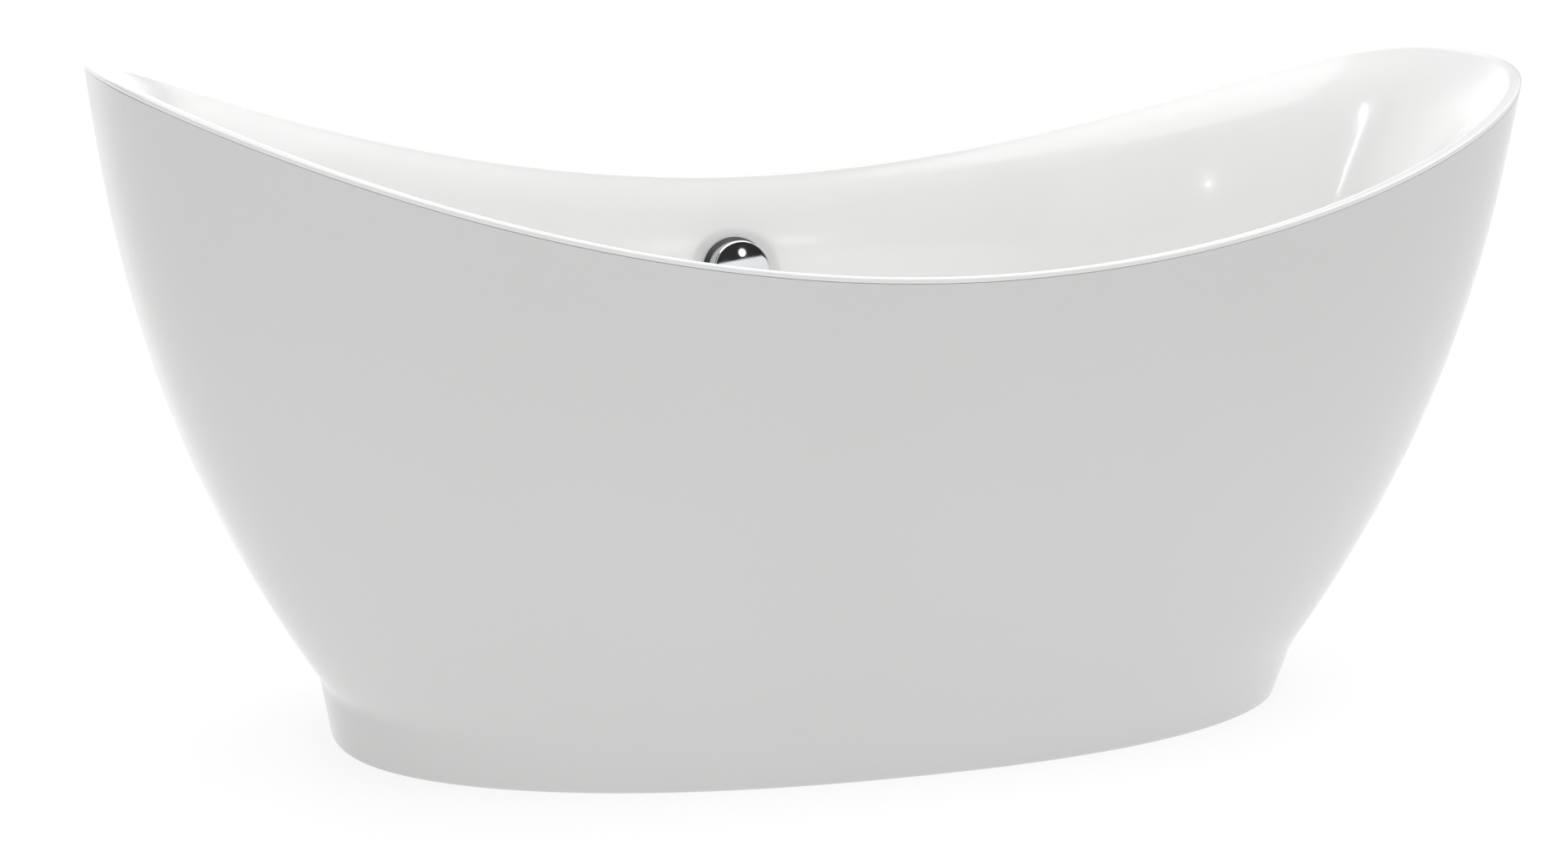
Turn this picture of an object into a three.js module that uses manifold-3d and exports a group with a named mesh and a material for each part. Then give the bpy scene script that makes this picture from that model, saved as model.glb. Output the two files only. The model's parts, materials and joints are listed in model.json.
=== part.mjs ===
// A freestanding double-slipper bathtub: an acrylic basin in an acrylic outer shell, on a steel
// frame with four levelling feet, with a knob-and-cable pop-up drain and its overflow.
//
// Millimetres, +Z up. X runs along the bath, and the overflow is in the wall at +Y. The origin is
// the middle of the footprint, on the floor.

import * as THREE from "three";
import { mergeVertices } from "three/addons/utils/BufferGeometryUtils.js";
import { ParametricGeometry } from "three/addons/geometries/ParametricGeometry.js";
import Module from "manifold-3d";

const wasm = await Module();
wasm.setup();

// ---------------------------------------------------------------- driving dimensions

const LENGTH = 1720;
const WIDTH = 800;
const END_HEIGHT = 784; // top of the rim at both ends
const MIDDLE_HEIGHT = 593; // top of the rim half-way along
const RIM_POWER = 1.94; // how the rim climbs from the middle to the ends
const GAP = 0.3; // left between pieces that touch

const SHELL_WALL = 5; // outer shell
const BASIN_WALL = 7; // acrylic with its glass-fibre backing
const LIP_WIDTH = 14; // the rolled rim
const LIP_HEIGHT = 6;
const FLOOR_Z = 158; // inside floor at the drain

// Plinth: the upright foot of the outer shell. Half sizes at the floor and at the crease above it.
const PLINTH_HEIGHT = 72;
const FOOT_HALF = { length: 598, width: 298 };
const CREASE_HALF = { length: 610.5, width: 322 };

// Slopes of the outer wall, sideways per upwards, at the crease and at the rim.
const END_SLOPE = { low: 0.697, high: 0.112 };
const SIDE_SLOPE = { low: 0.27, high: -0.021 };

// How square the plan is: 2 is an ellipse.
const SQUARENESS = { foot: 2.25, crease: 2.38, rim: 2.68, floor: 2.3 };

const BOARD = { length: 960, width: 360, thickness: 18, corner: 28 };
const TUBE = 30; // square frame tube
const TUBE_WALL = 2;
const RAIL = { length: 960, y: 150 };
const CROSS_X = 330;
const FOOT = { x: 420, padRadius: 25, padHeight: 14, studRadius: 5.85 };

const DRAIN_HOLE = 27;
const DRAIN_RECESS = { radius: 38, depth: 4 };

const OVERFLOW = { z: 474, tilt: THREE.MathUtils.degToRad(13), hole: 26 };
const DISH = { depth: 4, seatRadius: 49, radius: 62 };
const BOSS = { radius: 43, back: 14 };

// Lift gear: the knob winds the cable on its drum, and the cable swings the lever.
const LEVER_SWING = THREE.MathUtils.degToRad(29);
const LEVER = { y: -20, z: 100, finger: 24, arm: 38 };
const WIRE_RADIUS = 0.8;
const WIRE_X = 42.5; // beside the lever arm
const CABLE_DRUM = 10;

// ---------------------------------------------------------------- materials

const finish = (color, roughness, metalness) => ({ color, roughness, metalness });
const ACRYLIC = finish(0xf4f4f3, 0.15, 0);
const CHROME = finish(0xd9dcdf, 0.08, 1);
const STEEL = finish(0x3d4043, 0.5, 0.6);
const ZINC = finish(0xb4b8bb, 0.35, 1);
const PLYWOOD = finish(0xb98f5c, 0.75, 0);
const RUBBER = finish(0x1d1e20, 0.8, 0);
const PLASTIC = finish(0x33363a, 0.45, 0);
const WHITE_PLASTIC = finish(0xe6e6e2, 0.4, 0);
const BRASS = finish(0xc49a4e, 0.3, 1);

// ---------------------------------------------------------------- solids

// A closed geometry as a manifold-3d solid, placed by a matrix where one is given.
function solid(geometry, matrix = new THREE.Matrix4()) {
  const bare = geometry.clone().applyMatrix4(matrix);
  bare.deleteAttribute("normal");
  bare.deleteAttribute("uv");
  const merged = mergeVertices(bare, 1e-4);
  return new wasm.Manifold(
    new wasm.Mesh({
      numProp: 3,
      vertProperties: merged.attributes.position.array,
      triVerts: new Uint32Array(merged.index.array),
    }),
  );
}

function geometryOf(made) {
  const mesh = made.getMesh();
  const geometry = new THREE.BufferGeometry();
  geometry.setAttribute("position", new THREE.BufferAttribute(mesh.vertProperties, 3));
  geometry.setIndex(new THREE.BufferAttribute(mesh.triVerts, 1));
  geometry.computeVertexNormals();
  return geometry;
}

// The first geometry joined with the others, then cut by the tools.
function carve(bodies, tools = []) {
  let made = solid(bodies[0]);
  for (const body of bodies.slice(1)) made = made.add(solid(body));
  for (const tool of tools) made = made.subtract(solid(tool));
  return geometryOf(made);
}

const SEGMENTS = 16;
const FINE = 28; // for pieces over about 50 mm across
const v2 = (x, y) => new THREE.Vector2(x, y);
const v3 = (x, y, z) => new THREE.Vector3(x, y, z);

// A body turned about +Z from [radius, z] pairs. The pairs run up the outside and down the inside.
function turned(pairs, segments = SEGMENTS) {
  const outline = pairs.map(([r, z]) => v2(r, z));
  if (pairs[0][0] > 0) outline.push(outline[0].clone());
  return new THREE.LatheGeometry(outline, segments).rotateX(Math.PI / 2);
}

const ring = (inner, outer, z0, z1, segments) =>
  turned([[inner, z0], [outer, z0], [outer, z1], [inner, z1]], segments);

const disc = (radius, z0, z1, segments) =>
  turned([[0, z0], [radius, z0], [radius, z1], [0, z1]], segments);

const box = (x0, x1, y0, y1, z0, z1) =>
  new THREE.BoxGeometry(x1 - x0, y1 - y0, z1 - z0).translate((x0 + x1) / 2, (y0 + y1) / 2, (z0 + z1) / 2);

// A round bar or drill along an axis through a point, from one coordinate to the other.
function bar(axis, radius, from, to, at, segments = SEGMENTS) {
  const made = disc(radius, from, to, segments);
  if (axis === "x") made.rotateY(Math.PI / 2);
  if (axis === "y") made.rotateX(-Math.PI / 2);
  return made.translate(...at);
}

// A hexagon with a round bore, lying across +Z.
function hexNut(flats, bore, z0, z1) {
  const shape = new THREE.Shape();
  const corner = flats / Math.sqrt(3);
  for (let i = 0; i < 6; i++) {
    const angle = (i * Math.PI) / 3;
    const point = [corner * Math.cos(angle), corner * Math.sin(angle)];
    if (i === 0) shape.moveTo(...point);
    else shape.lineTo(...point);
  }
  shape.closePath();
  const hole = new THREE.Path();
  hole.absarc(0, 0, bore, 0, 2 * Math.PI, true);
  if (bore > 0) shape.holes.push(hole);
  return new THREE.ExtrudeGeometry(shape, { depth: z1 - z0, bevelEnabled: false, curveSegments: 8 })
    .translate(0, 0, z0);
}

// A hose along a curve. Its ends are flat rings.
function hose(points, outer, inner, steps, sides) {
  const shape = new THREE.Shape();
  shape.absarc(0, 0, outer, 0, 2 * Math.PI);
  const hole = new THREE.Path();
  hole.absarc(0, 0, inner, 0, 2 * Math.PI, true);
  shape.holes.push(hole);
  const extrudePath = new THREE.CatmullRomCurve3(points, false, "centripetal");
  return new THREE.ExtrudeGeometry(shape, { steps, extrudePath, curveSegments: sides / 2 });
}

const bath = new THREE.Group();

function add(name, geometry, look, parent = bath) {
  const mesh = new THREE.Mesh(geometry, new THREE.MeshStandardMaterial(look));
  mesh.name = name;
  parent.add(mesh);
  return mesh;
}

// ---------------------------------------------------------------- the outer form

// A smooth curve from (z1, a) to (z2, b) with the given end slopes, straight on above z2.
function rise(z, z1, z2, a, b, slope) {
  const span = z2 - z1;
  const u = THREE.MathUtils.clamp((z - z1) / span, 0, 1);
  const u2 = u * u;
  const u3 = u2 * u;
  const value =
    (2 * u3 - 3 * u2 + 1) * a +
    (u3 - 2 * u2 + u) * span * slope.low +
    (3 * u2 - 2 * u3) * b +
    (u3 - u2) * span * slope.high;
  return value + Math.max(0, z - z2) * slope.high;
}

function outerHalfLength(z) {
  if (z >= PLINTH_HEIGHT)
    return rise(z, PLINTH_HEIGHT, END_HEIGHT, CREASE_HALF.length, LENGTH / 2, END_SLOPE);
  return THREE.MathUtils.lerp(FOOT_HALF.length, CREASE_HALF.length, z / PLINTH_HEIGHT);
}

function outerHalfWidth(z) {
  if (z >= PLINTH_HEIGHT)
    return rise(z, PLINTH_HEIGHT, MIDDLE_HEIGHT, CREASE_HALF.width, WIDTH / 2, SIDE_SLOPE);
  return THREE.MathUtils.lerp(FOOT_HALF.width, CREASE_HALF.width, z / PLINTH_HEIGHT);
}

function outerSquareness(z) {
  if (z >= PLINTH_HEIGHT) {
    const share = (z - PLINTH_HEIGHT) / (END_HEIGHT - PLINTH_HEIGHT);
    return THREE.MathUtils.lerp(SQUARENESS.crease, SQUARENESS.rim, Math.min(share, 1));
  }
  return THREE.MathUtils.lerp(SQUARENESS.foot, SQUARENESS.crease, z / PLINTH_HEIGHT);
}

// A point of a rounded oval at an angle round it.
function oval(angle, halfLength, halfWidth, squareness, z) {
  const c = Math.cos(angle);
  const s = Math.sin(angle);
  const reach = (Math.abs(c) ** squareness + Math.abs(s) ** squareness) ** (-1 / squareness);
  return v3(halfLength * c * reach, halfWidth * s * reach, z);
}

const outerPoint = (angle, z, inset = 0) =>
  oval(angle, outerHalfLength(z) - inset, outerHalfWidth(z) - inset, outerSquareness(z), z);

// Height of the rim at an angle, where the outer form meets the rim's long saddle.
function rimHeight(angle) {
  let z = MIDDLE_HEIGHT;
  for (let i = 0; i < 12; i++) {
    const along = Math.min(Math.abs(outerPoint(angle, z).x) / (LENGTH / 2), 1);
    z = MIDDLE_HEIGHT + (END_HEIGHT - MIDDLE_HEIGHT) * along ** RIM_POWER;
  }
  return z;
}

// ---------------------------------------------------------------- outer shell

const AROUND = 56;

// Heights of the rows up the shell: the plinth, a soft crease, then even steps to the rim.
function shellRows() {
  const rows = [0, 24, 48, 64, 80].map((z) => ({ z, share: 0 }));
  const steps = 7;
  for (let i = 1; i <= steps; i++) rows.push({ z: 80, share: i / steps });
  return rows;
}

function outerShell() {
  const rows = shellRows();
  const loop = [...rows.map((r) => [r, 0]), ...rows.map((r) => [r, SHELL_WALL]).reverse()];
  loop.push(loop[0]);
  const surface = (u, v, target) => {
    const angle = 2 * Math.PI * u;
    const [row, inset] = loop[Math.round(v * (loop.length - 1))];
    const top = rimHeight(angle) - LIP_HEIGHT - GAP;
    const z = row.z + (top - row.z) * row.share;
    target.copy(outerPoint(angle, z, inset));
  };
  return new ParametricGeometry(surface, AROUND, loop.length - 1);
}

add("outer_shell", outerShell(), ACRYLIC);

// ---------------------------------------------------------------- basin

// The inside wall from the lip to the drain: half length, half width, and the share of the depth.
const INSIDE = new THREE.CatmullRomCurve3(
  [
    v3(846, 386, 1),
    v3(838, 383, 0.985),
    v3(800, 367, 0.92),
    v3(744, 342, 0.75),
    v3(676, 318, 0.47),
    v3(600, 290, 0.24),
    v3(530, 250, 0.1),
    v3(440, 190, 0.025),
    v3(300, 120, 0.006),
    v3(120, 60, 0.001),
  ],
  false,
  "centripetal",
);
const INSIDE_ROWS = 12;

// A point of the inside wall, where row 0 is the lip.
function insidePoint(angle, row) {
  const at = INSIDE.getPoint(row / INSIDE_ROWS);
  const rim = rimHeight(angle);
  const squareness = THREE.MathUtils.lerp(SQUARENESS.floor, outerSquareness(rim), at.z);
  return oval(
    angle,
    (at.x / (LENGTH / 2)) * outerHalfLength(rim),
    (at.y / (WIDTH / 2)) * outerHalfWidth(rim),
    squareness,
    FLOOR_Z + (rim - FLOOR_Z) * at.z,
  );
}

// The same point on the back of the wall, set off square to the wall.
function backPoint(angle, row) {
  const step = 0.01;
  const here = insidePoint(angle, row);
  const around = insidePoint(angle + step, row).sub(insidePoint(angle - step, row));
  const up = insidePoint(angle, Math.max(row - step, 0)).sub(
    insidePoint(angle, Math.min(row + step, INSIDE_ROWS)),
  );
  return here.add(around.cross(up).setLength(BASIN_WALL));
}

// The rolled lip in section, as [inset, drop] from the outer form's top edge.
const LIP = [[5, 0], [1.6, 1], [0, 3.6], [0, LIP_HEIGHT], [LIP_WIDTH, LIP_HEIGHT]];

function lipPoint(angle, [inset, drop]) {
  return outerPoint(angle, rimHeight(angle) - drop, inset);
}

function basin() {
  const loop = [() => v3(0, 0, FLOOR_Z)];
  for (let row = INSIDE_ROWS; row >= 0; row--) loop.push((angle) => insidePoint(angle, row));
  for (const corner of LIP) loop.push((angle) => lipPoint(angle, corner));
  for (let row = 2; row <= INSIDE_ROWS; row++) loop.push((angle) => backPoint(angle, row));
  loop.push(() => v3(0, 0, FLOOR_Z - BASIN_WALL));
  const surface = (u, v, target) => {
    target.copy(loop[Math.round(v * (loop.length - 1))](-2 * Math.PI * u));
  };
  return new ParametricGeometry(surface, AROUND, loop.length - 1);
}

// Where the overflow sits: local +Z points into the bath, square to the wall, local +Y up along it.
function wallAtOverflow() {
  let low = 0;
  let high = INSIDE_ROWS;
  for (let i = 0; i < 30; i++) {
    const middle = (low + high) / 2;
    if (insidePoint(Math.PI / 2, middle).z > OVERFLOW.z) low = middle;
    else high = middle;
  }
  return insidePoint(Math.PI / 2, low);
}

const overflow = new THREE.Group();
overflow.position.copy(wallAtOverflow());
overflow.rotation.x = Math.PI / 2 - OVERFLOW.tilt;
overflow.updateMatrix();
bath.add(overflow);

function basinWithOpenings() {
  const dishCut = turned(
    [[0, -DISH.depth], [DISH.seatRadius, -DISH.depth], [DISH.radius, 3], [0, 3]],
    40,
  );
  const boss = disc(BOSS.radius, -BOSS.back, -DISH.depth - 1, FINE);
  const hole = disc(OVERFLOW.hole, -BOSS.back - 2, 0, FINE);
  const recess = disc(DRAIN_RECESS.radius, FLOOR_Z - DRAIN_RECESS.depth, FLOOR_Z + 5, FINE);
  const drain = disc(DRAIN_HOLE, FLOOR_Z - 20, FLOOR_Z + 5, FINE);
  const made = solid(basin())
    .add(solid(boss, overflow.matrix))
    .subtract(solid(dishCut, overflow.matrix))
    .subtract(solid(hole, overflow.matrix))
    .subtract(solid(recess))
    .subtract(solid(drain));
  return geometryOf(made);
}

add("basin", basinWithOpenings(), ACRYLIC);

// ---------------------------------------------------------------- base board and frame

const BOARD_TOP = FLOOR_Z - BASIN_WALL - 0.5;
const BOARD_BOTTOM = BOARD_TOP - BOARD.thickness;
const RAIL_TOP = BOARD_BOTTOM - GAP;
const RAIL_BOTTOM = RAIL_TOP - TUBE;
const BOARD_HOLE = 46; // clears the drain body

function roundedRectangle(length, width, radius) {
  const x = length / 2;
  const y = width / 2;
  const shape = new THREE.Shape();
  shape.moveTo(-x + radius, -y);
  shape.lineTo(x - radius, -y);
  shape.absarc(x - radius, -y + radius, radius, -Math.PI / 2, 0);
  shape.lineTo(x, y - radius);
  shape.absarc(x - radius, y - radius, radius, 0, Math.PI / 2);
  shape.lineTo(-x + radius, y);
  shape.absarc(-x + radius, y - radius, radius, Math.PI / 2, Math.PI);
  shape.lineTo(-x, -y + radius);
  shape.absarc(-x + radius, -y + radius, radius, Math.PI, 1.5 * Math.PI);
  return shape;
}

const SCREW = { x: 180, shank: 2.2, head: 4.5, headHeight: 2.5, grip: 12 }; // grip: shank above the head

function baseBoard() {
  const shape = roundedRectangle(BOARD.length, BOARD.width, BOARD.corner);
  const hole = new THREE.Path();
  hole.absarc(0, 0, BOARD_HOLE, 0, 2 * Math.PI, true);
  shape.holes.push(hole);
  const slab = new THREE.ExtrudeGeometry(shape, { depth: BOARD.thickness, bevelEnabled: false });
  slab.translate(0, 0, BOARD_BOTTOM);
  const pilots = corners(SCREW.x, RAIL.y).map(([x, y]) =>
    disc(SCREW.shank + GAP, BOARD_BOTTOM - 1, BOARD_BOTTOM + SCREW.grip + 1, 12).translate(x, y, 0),
  );
  return carve([slab], pilots);
}

// The four places mirrored about both axes, counted round from the front left.
function corners(x, y) {
  return [[-x, -y], [x, -y], [x, y], [-x, y]];
}

add("base_board", baseBoard(), PLYWOOD);

// A square tube lying along an axis, open at both ends.
function squareTube(axis, from, to, across) {
  const half = TUBE / 2;
  const bore = half - TUBE_WALL;
  const middle = RAIL_BOTTOM + half;
  const span = (reach, extra) =>
    axis === "x"
      ? box(from - extra, to + extra, across - reach, across + reach, middle - reach, middle + reach)
      : box(across - reach, across + reach, from - extra, to + extra, middle - reach, middle + reach);
  return { outer: span(half, 0), bore: span(bore, 5) };
}

// A rail is drilled for its two feet and its two board screws.
function rail(y) {
  const tube = squareTube("x", -RAIL.length / 2, RAIL.length / 2, y);
  const holes = [tube.bore];
  for (const side of [-1, 1]) {
    const footHole = disc(FOOT.studRadius + 0.5, RAIL_BOTTOM - 1, RAIL_BOTTOM + TUBE_WALL + 1, 24);
    holes.push(footHole.translate(side * FOOT.x, y, 0));
    const screwHole = disc(SCREW.shank + GAP, RAIL_BOTTOM - 1, RAIL_TOP + 1, 12);
    holes.push(screwHole.translate(side * SCREW.x, y, 0));
    const headHole = disc(SCREW.head + GAP, RAIL_BOTTOM - 1, RAIL_BOTTOM + TUBE_WALL + 1, 12);
    holes.push(headHole.translate(side * SCREW.x, y, 0));
  }
  return carve([tube.outer], holes);
}

add("frame_rail_front", rail(-RAIL.y), STEEL);
add("frame_rail_rear", rail(RAIL.y), STEEL);

for (const [side, x] of [["left", -CROSS_X], ["right", CROSS_X]]) {
  const reach = RAIL.y - TUBE / 2 - GAP;
  const tube = squareTube("y", -reach, reach, x);
  add(`frame_cross_${side}`, carve([tube.outer], [tube.bore]), STEEL);
}

// Wood screws driven up inside the rails, through their top walls into the board.
function boardScrew() {
  const seat = RAIL_TOP - TUBE_WALL - GAP;
  const { shank, head, headHeight, grip } = SCREW;
  return turned(
    [[0, seat - headHeight], [head - 1, seat - headHeight], [head, seat], [shank, seat],
      [shank, seat + grip], [0, seat + grip + 3]],
    12,
  );
}

corners(SCREW.x, RAIL.y).forEach(([x, y], i) => {
  add(`board_screw_${i + 1}`, boardScrew(), ZINC).position.set(x, y, 0);
});

// ---------------------------------------------------------------- levelling feet

const WELD_NUT = { flats: 19, height: 10 };
const LOCK_NUT = { flats: 19, height: 7 };
const STUD = { bottom: 6, top: RAIL_TOP - TUBE_WALL - 2, hexFlats: 14, hexBottom: 18, hexTop: 26 };
const NUT_BORE = FOOT.studRadius + 0.5;

function footPad() {
  const socket = FOOT.studRadius + 0.5;
  const { padRadius, padHeight } = FOOT;
  return turned([
    [0, 0], [padRadius - 1, 0], [padRadius, 1], [padRadius, 4], [padRadius - 8, 8],
    [socket + 4, padHeight], [socket, padHeight], [socket, STUD.bottom - GAP], [0, STUD.bottom - GAP],
  ]);
}

function footStud() {
  const stem = disc(FOOT.studRadius, STUD.bottom, STUD.top, 24);
  return carve([stem, hexNut(STUD.hexFlats, 0, STUD.hexBottom, STUD.hexTop)]);
}

corners(FOOT.x, RAIL.y).forEach(([x, y], i) => {
  const foot = new THREE.Group();
  foot.position.set(x, y, 0);
  bath.add(foot);
  const weldTop = RAIL_BOTTOM - GAP;
  const lockTop = weldTop - WELD_NUT.height - GAP;
  const number = i + 1;
  add(`foot_${number}_pad`, footPad(), PLASTIC, foot);
  add(`foot_${number}_stud`, footStud(), ZINC, foot);
  const weldNut = hexNut(WELD_NUT.flats, NUT_BORE, weldTop - WELD_NUT.height, weldTop);
  add(`foot_${number}_weld_nut`, weldNut, STEEL, foot);
  const lockNut = hexNut(LOCK_NUT.flats, NUT_BORE, lockTop - LOCK_NUT.height, lockTop);
  add(`foot_${number}_lock_nut`, lockNut, ZINC, foot);
});

// ---------------------------------------------------------------- drain

const RECESS_Z = FLOOR_Z - DRAIN_RECESS.depth;
const FLOOR_BACK = FLOOR_Z - BASIN_WALL;
const TAIL = { outer: 24.5, bore: 22, bottom: 112 }; // the flange's threaded tail
const GUIDE = { z0: 140, z1: 146, radius: 9, bore: 4.8 }; // the cross that guides the stem
const SEAL_TOP = RECESS_Z + GAP + 1.5;
const FLANGE_TOP = SEAL_TOP + GAP + 3;

function drainFlange() {
  const sleeve = turned([
    [TAIL.bore, TAIL.bottom], [TAIL.outer, TAIL.bottom], [TAIL.outer, SEAL_TOP + GAP],
    [36, SEAL_TOP + GAP], [36, FLANGE_TOP - 1.5], [34, FLANGE_TOP], [26, FLANGE_TOP],
    [TAIL.bore, FLANGE_TOP - 3],
  ], FINE);
  const guide = disc(GUIDE.radius, GUIDE.z0, GUIDE.z1);
  const reach = TAIL.bore + 1;
  const spokes = [0, 1, 2].map((i) =>
    box(0, reach, -1.5, 1.5, GUIDE.z0, GUIDE.z1).rotateZ(((i + 0.25) * 2 * Math.PI) / 3),
  );
  return carve([sleeve, guide, ...spokes], [disc(GUIDE.bore, GUIDE.z0 - 1, GUIDE.z1 + 1, 24)]);
}

const BODY = {
  flange: 41,
  outer: 29,
  bore: 25,
  top: FLOOR_BACK - GAP - 2 - GAP,
  neckZ: 64,
  outletOuter: 22,
  outletBore: 18,
  bottom: 46,
};
const BRANCH = { z: 78, outer: 13, bore: 11, end: 64 };
const LEVER_BOSS = 7;
const SHAFT = { radius: 3, clear: 0.4, inner: -8, outer: 35.5 };
const ANCHOR = { y0: 40, y1: 46, x1: 48, z0: 56, z1: 72 }; // holds the cable's lower end

const wireZ = LEVER.z - LEVER.arm * Math.cos(LEVER_SWING / 4);

function drainBody() {
  const { flange, outer, bore, top, neckZ, outletOuter, outletBore, bottom } = BODY;
  const tube = turned([
    [outletBore, bottom], [outletOuter, bottom], [outletOuter, neckZ - 6], [outer, neckZ],
    [outer, top - 4], [flange, top - 4], [flange, top], [bore, top], [bore, neckZ + 4],
    [outletBore, neckZ - 2],
  ], FINE);
  const branch = bar("y", BRANCH.outer, outer - 4, BRANCH.end, [0, 0, BRANCH.z], 24);
  const boss = bar("x", LEVER_BOSS, 16, 33, [0, LEVER.y, LEVER.z], 20);
  const anchor = box(0, ANCHOR.x1, ANCHOR.y0, ANCHOR.y1, ANCHOR.z0, ANCHOR.z1);
  return carve(
    [tube, branch, boss, anchor],
    [
      bar("y", BRANCH.bore, bore - 8, BRANCH.end + 1, [0, 0, BRANCH.z], 24),
      bar("x", SHAFT.radius + SHAFT.clear, 5, 34, [0, LEVER.y, LEVER.z], 20),
      disc(bore, LEVER.z - 12, LEVER.z + 12, FINE),
      bar("y", WIRE_RADIUS + 0.6, ANCHOR.y0 - 1, ANCHOR.y1 + 1, [WIRE_X, 0, wireZ], 12),
    ],
  );
}

add("drain_flange", drainFlange(), CHROME);
add("drain_flange_seal", ring(28, 36, RECESS_Z + GAP, SEAL_TOP, FINE), RUBBER);
add("drain_body_seal", ring(DRAIN_HOLE + 1, 40, FLOOR_BACK - GAP - 2, FLOOR_BACK - GAP, FINE), RUBBER);
add("drain_body", drainBody(), PLASTIC);

const TAILPIECE = { outer: 17, bore: 15.4, bottom: 6, top: 56 };
add("tailpiece", ring(TAILPIECE.bore, TAILPIECE.outer, TAILPIECE.bottom, TAILPIECE.top, FINE), BRASS);

// The slip nut runs up round the outlet and closes in under it on the tailpiece.
function slipNut() {
  const under = BODY.bottom - GAP;
  const bore = TAILPIECE.outer + 0.5;
  const thread = BODY.outletOuter + 0.5;
  return turned([
    [bore, under - 3], [27, under - 3], [28, under - 2], [28, under + 11],
    [thread, under + 11], [thread, under], [bore, under],
  ], FINE);
}

add("tailpiece_slip_nut", slipNut(), CHROME);

// ---------------------------------------------------------------- plug and lift gear

const PLUG_SEAL = { z0: FLANGE_TOP + GAP, thickness: 1.6, inner: 9.5, outer: 29 };
const CAP_Z = PLUG_SEAL.z0 + PLUG_SEAL.thickness + GAP;
const STEM_RADIUS = 4;
const STEM_END = 98;

const plugCap = turned([
  [0, CAP_Z], [29, CAP_Z], [31, CAP_Z + 1], [31, CAP_Z + 2.4], [29, CAP_Z + 4], [20, CAP_Z + 5.4],
  [10, CAP_Z + 6.1], [0, CAP_Z + 6.3],
], FINE);
add("plug_cap", plugCap, CHROME);
add("plug_seal", ring(PLUG_SEAL.inner, PLUG_SEAL.outer, PLUG_SEAL.z0, CAP_Z - GAP, FINE), RUBBER);

// The stem hangs from a flange that clamps the seal, and ends in a rounded tip over the lever.
const plugStem = turned([
  [0, STEM_END], [2, STEM_END], [STEM_RADIUS, STEM_END + 3], [STEM_RADIUS, GUIDE.z1 + 9],
  [9, CAP_Z - 3.5], [9, CAP_Z - GAP], [0, CAP_Z - GAP],
], 24);
add("plug_stem", plugStem, BRASS);
add("plug_stem_nut", hexNut(12, STEM_RADIUS + GAP, 113, 118), BRASS);

// The finger lies under the stem, on the shaft that passes out through the body's wall. At rest
// the lever is at one end of its swing.
const restTurn = new THREE.Matrix4()
  .makeTranslation(0, LEVER.y, LEVER.z)
  .multiply(new THREE.Matrix4().makeRotationX(-LEVER_SWING / 2));

const turnedToRest = (geometry) => geometry.applyMatrix4(restTurn);

function liftLever() {
  const shaft = bar("x", SHAFT.radius, SHAFT.inner, SHAFT.outer, [0, 0, 0], 20);
  const finger = box(-4, 4, 0, LEVER.finger, -2, 2);
  const square = box(34, SHAFT.outer + 4, -2.1, 2.1, -2.1, 2.1);
  return turnedToRest(carve([shaft, finger, square]));
}

// The arm sits on the shaft's square end. Its slot holds the cross pin of the cable.
function leverArm() {
  const width = 5;
  const arm = box(36, 40, -width, width, -LEVER.arm - 6, 0);
  const eye = bar("x", 7, 36, 40, [0, 0, 0], 20);
  const slot = box(35, 41, -2, 2, -LEVER.arm - 3.2, -LEVER.arm + 3.4);
  const square = box(35, 41, -2.5, 2.5, -2.5, 2.5);
  return turnedToRest(carve([arm, eye], [slot, square]));
}

add("lift_lever", liftLever(), BRASS);
add("lever_arm", leverArm(), PLASTIC);
const leverSeal = bar("x", 5, 33.4, 34.9, [0, 0, 0], 20);
const leverSealBore = bar("x", SHAFT.radius + GAP, 33, 35.5, [0, 0, 0], 20);
add("lever_seal", turnedToRest(carve([leverSeal], [leverSealBore])), RUBBER);

// ---------------------------------------------------------------- overflow

const CHAMBER = { outer: 32, bore: 29, back: -42, seat: -BOSS.back - 2.6, flange: 40 };
const OUTLET = { x: -12, z: -29.3, outer: 13, bore: 11, end: -60 };
const CABLE_END = { x: CABLE_DRUM + 1.25, z: -31, y: -38, boss: 5 };
const SPINDLE = { radius: 4, clear: 0.4, back: -39.2, front: 2, squareEnd: 14 };
const OVERFLOW_SCREW = { x: 21, boss: 4.5, shank: 2, head: 4 };

// Local frame of the overflow: [x, up along the wall, out of the wall].
function overflowBody() {
  const { outer, bore, back, seat, flange } = CHAMBER;
  const cup = turned([
    [0, back], [outer, back], [outer, seat - 3], [flange, seat - 3], [flange, seat], [bore, seat],
    [bore, back + 3], [0, back + 3],
  ], FINE);
  const spindleBoss = disc(8, back + 2, back + 6, 24);
  const screwBosses = [-1, 1].map((side) =>
    disc(OVERFLOW_SCREW.boss, back + 2, seat, 16).translate(side * OVERFLOW_SCREW.x, 0, 0),
  );
  const outlet = bar("y", OUTLET.outer, OUTLET.end, -bore + 4, [OUTLET.x, 0, OUTLET.z], 24);
  const cableBoss = bar("y", CABLE_END.boss, CABLE_END.y, -bore + 3, [CABLE_END.x, 0, CABLE_END.z], 16);
  return carve(
    [cup, spindleBoss, ...screwBosses, outlet, cableBoss],
    [
      disc(SPINDLE.radius + SPINDLE.clear, back + 2.5, back + 7, 24),
      ...[-1, 1].map((side) =>
        disc(OVERFLOW_SCREW.shank + GAP, -33, seat + 1, 12).translate(side * OVERFLOW_SCREW.x, 0, 0),
      ),
      bar("y", OUTLET.bore, OUTLET.end - 1, -bore + 10, [OUTLET.x, 0, OUTLET.z], 24),
      bar("y", WIRE_RADIUS + 0.6, CABLE_END.y - 1, -bore + 8, [CABLE_END.x, 0, CABLE_END.z], 12),
    ],
  );
}

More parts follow.
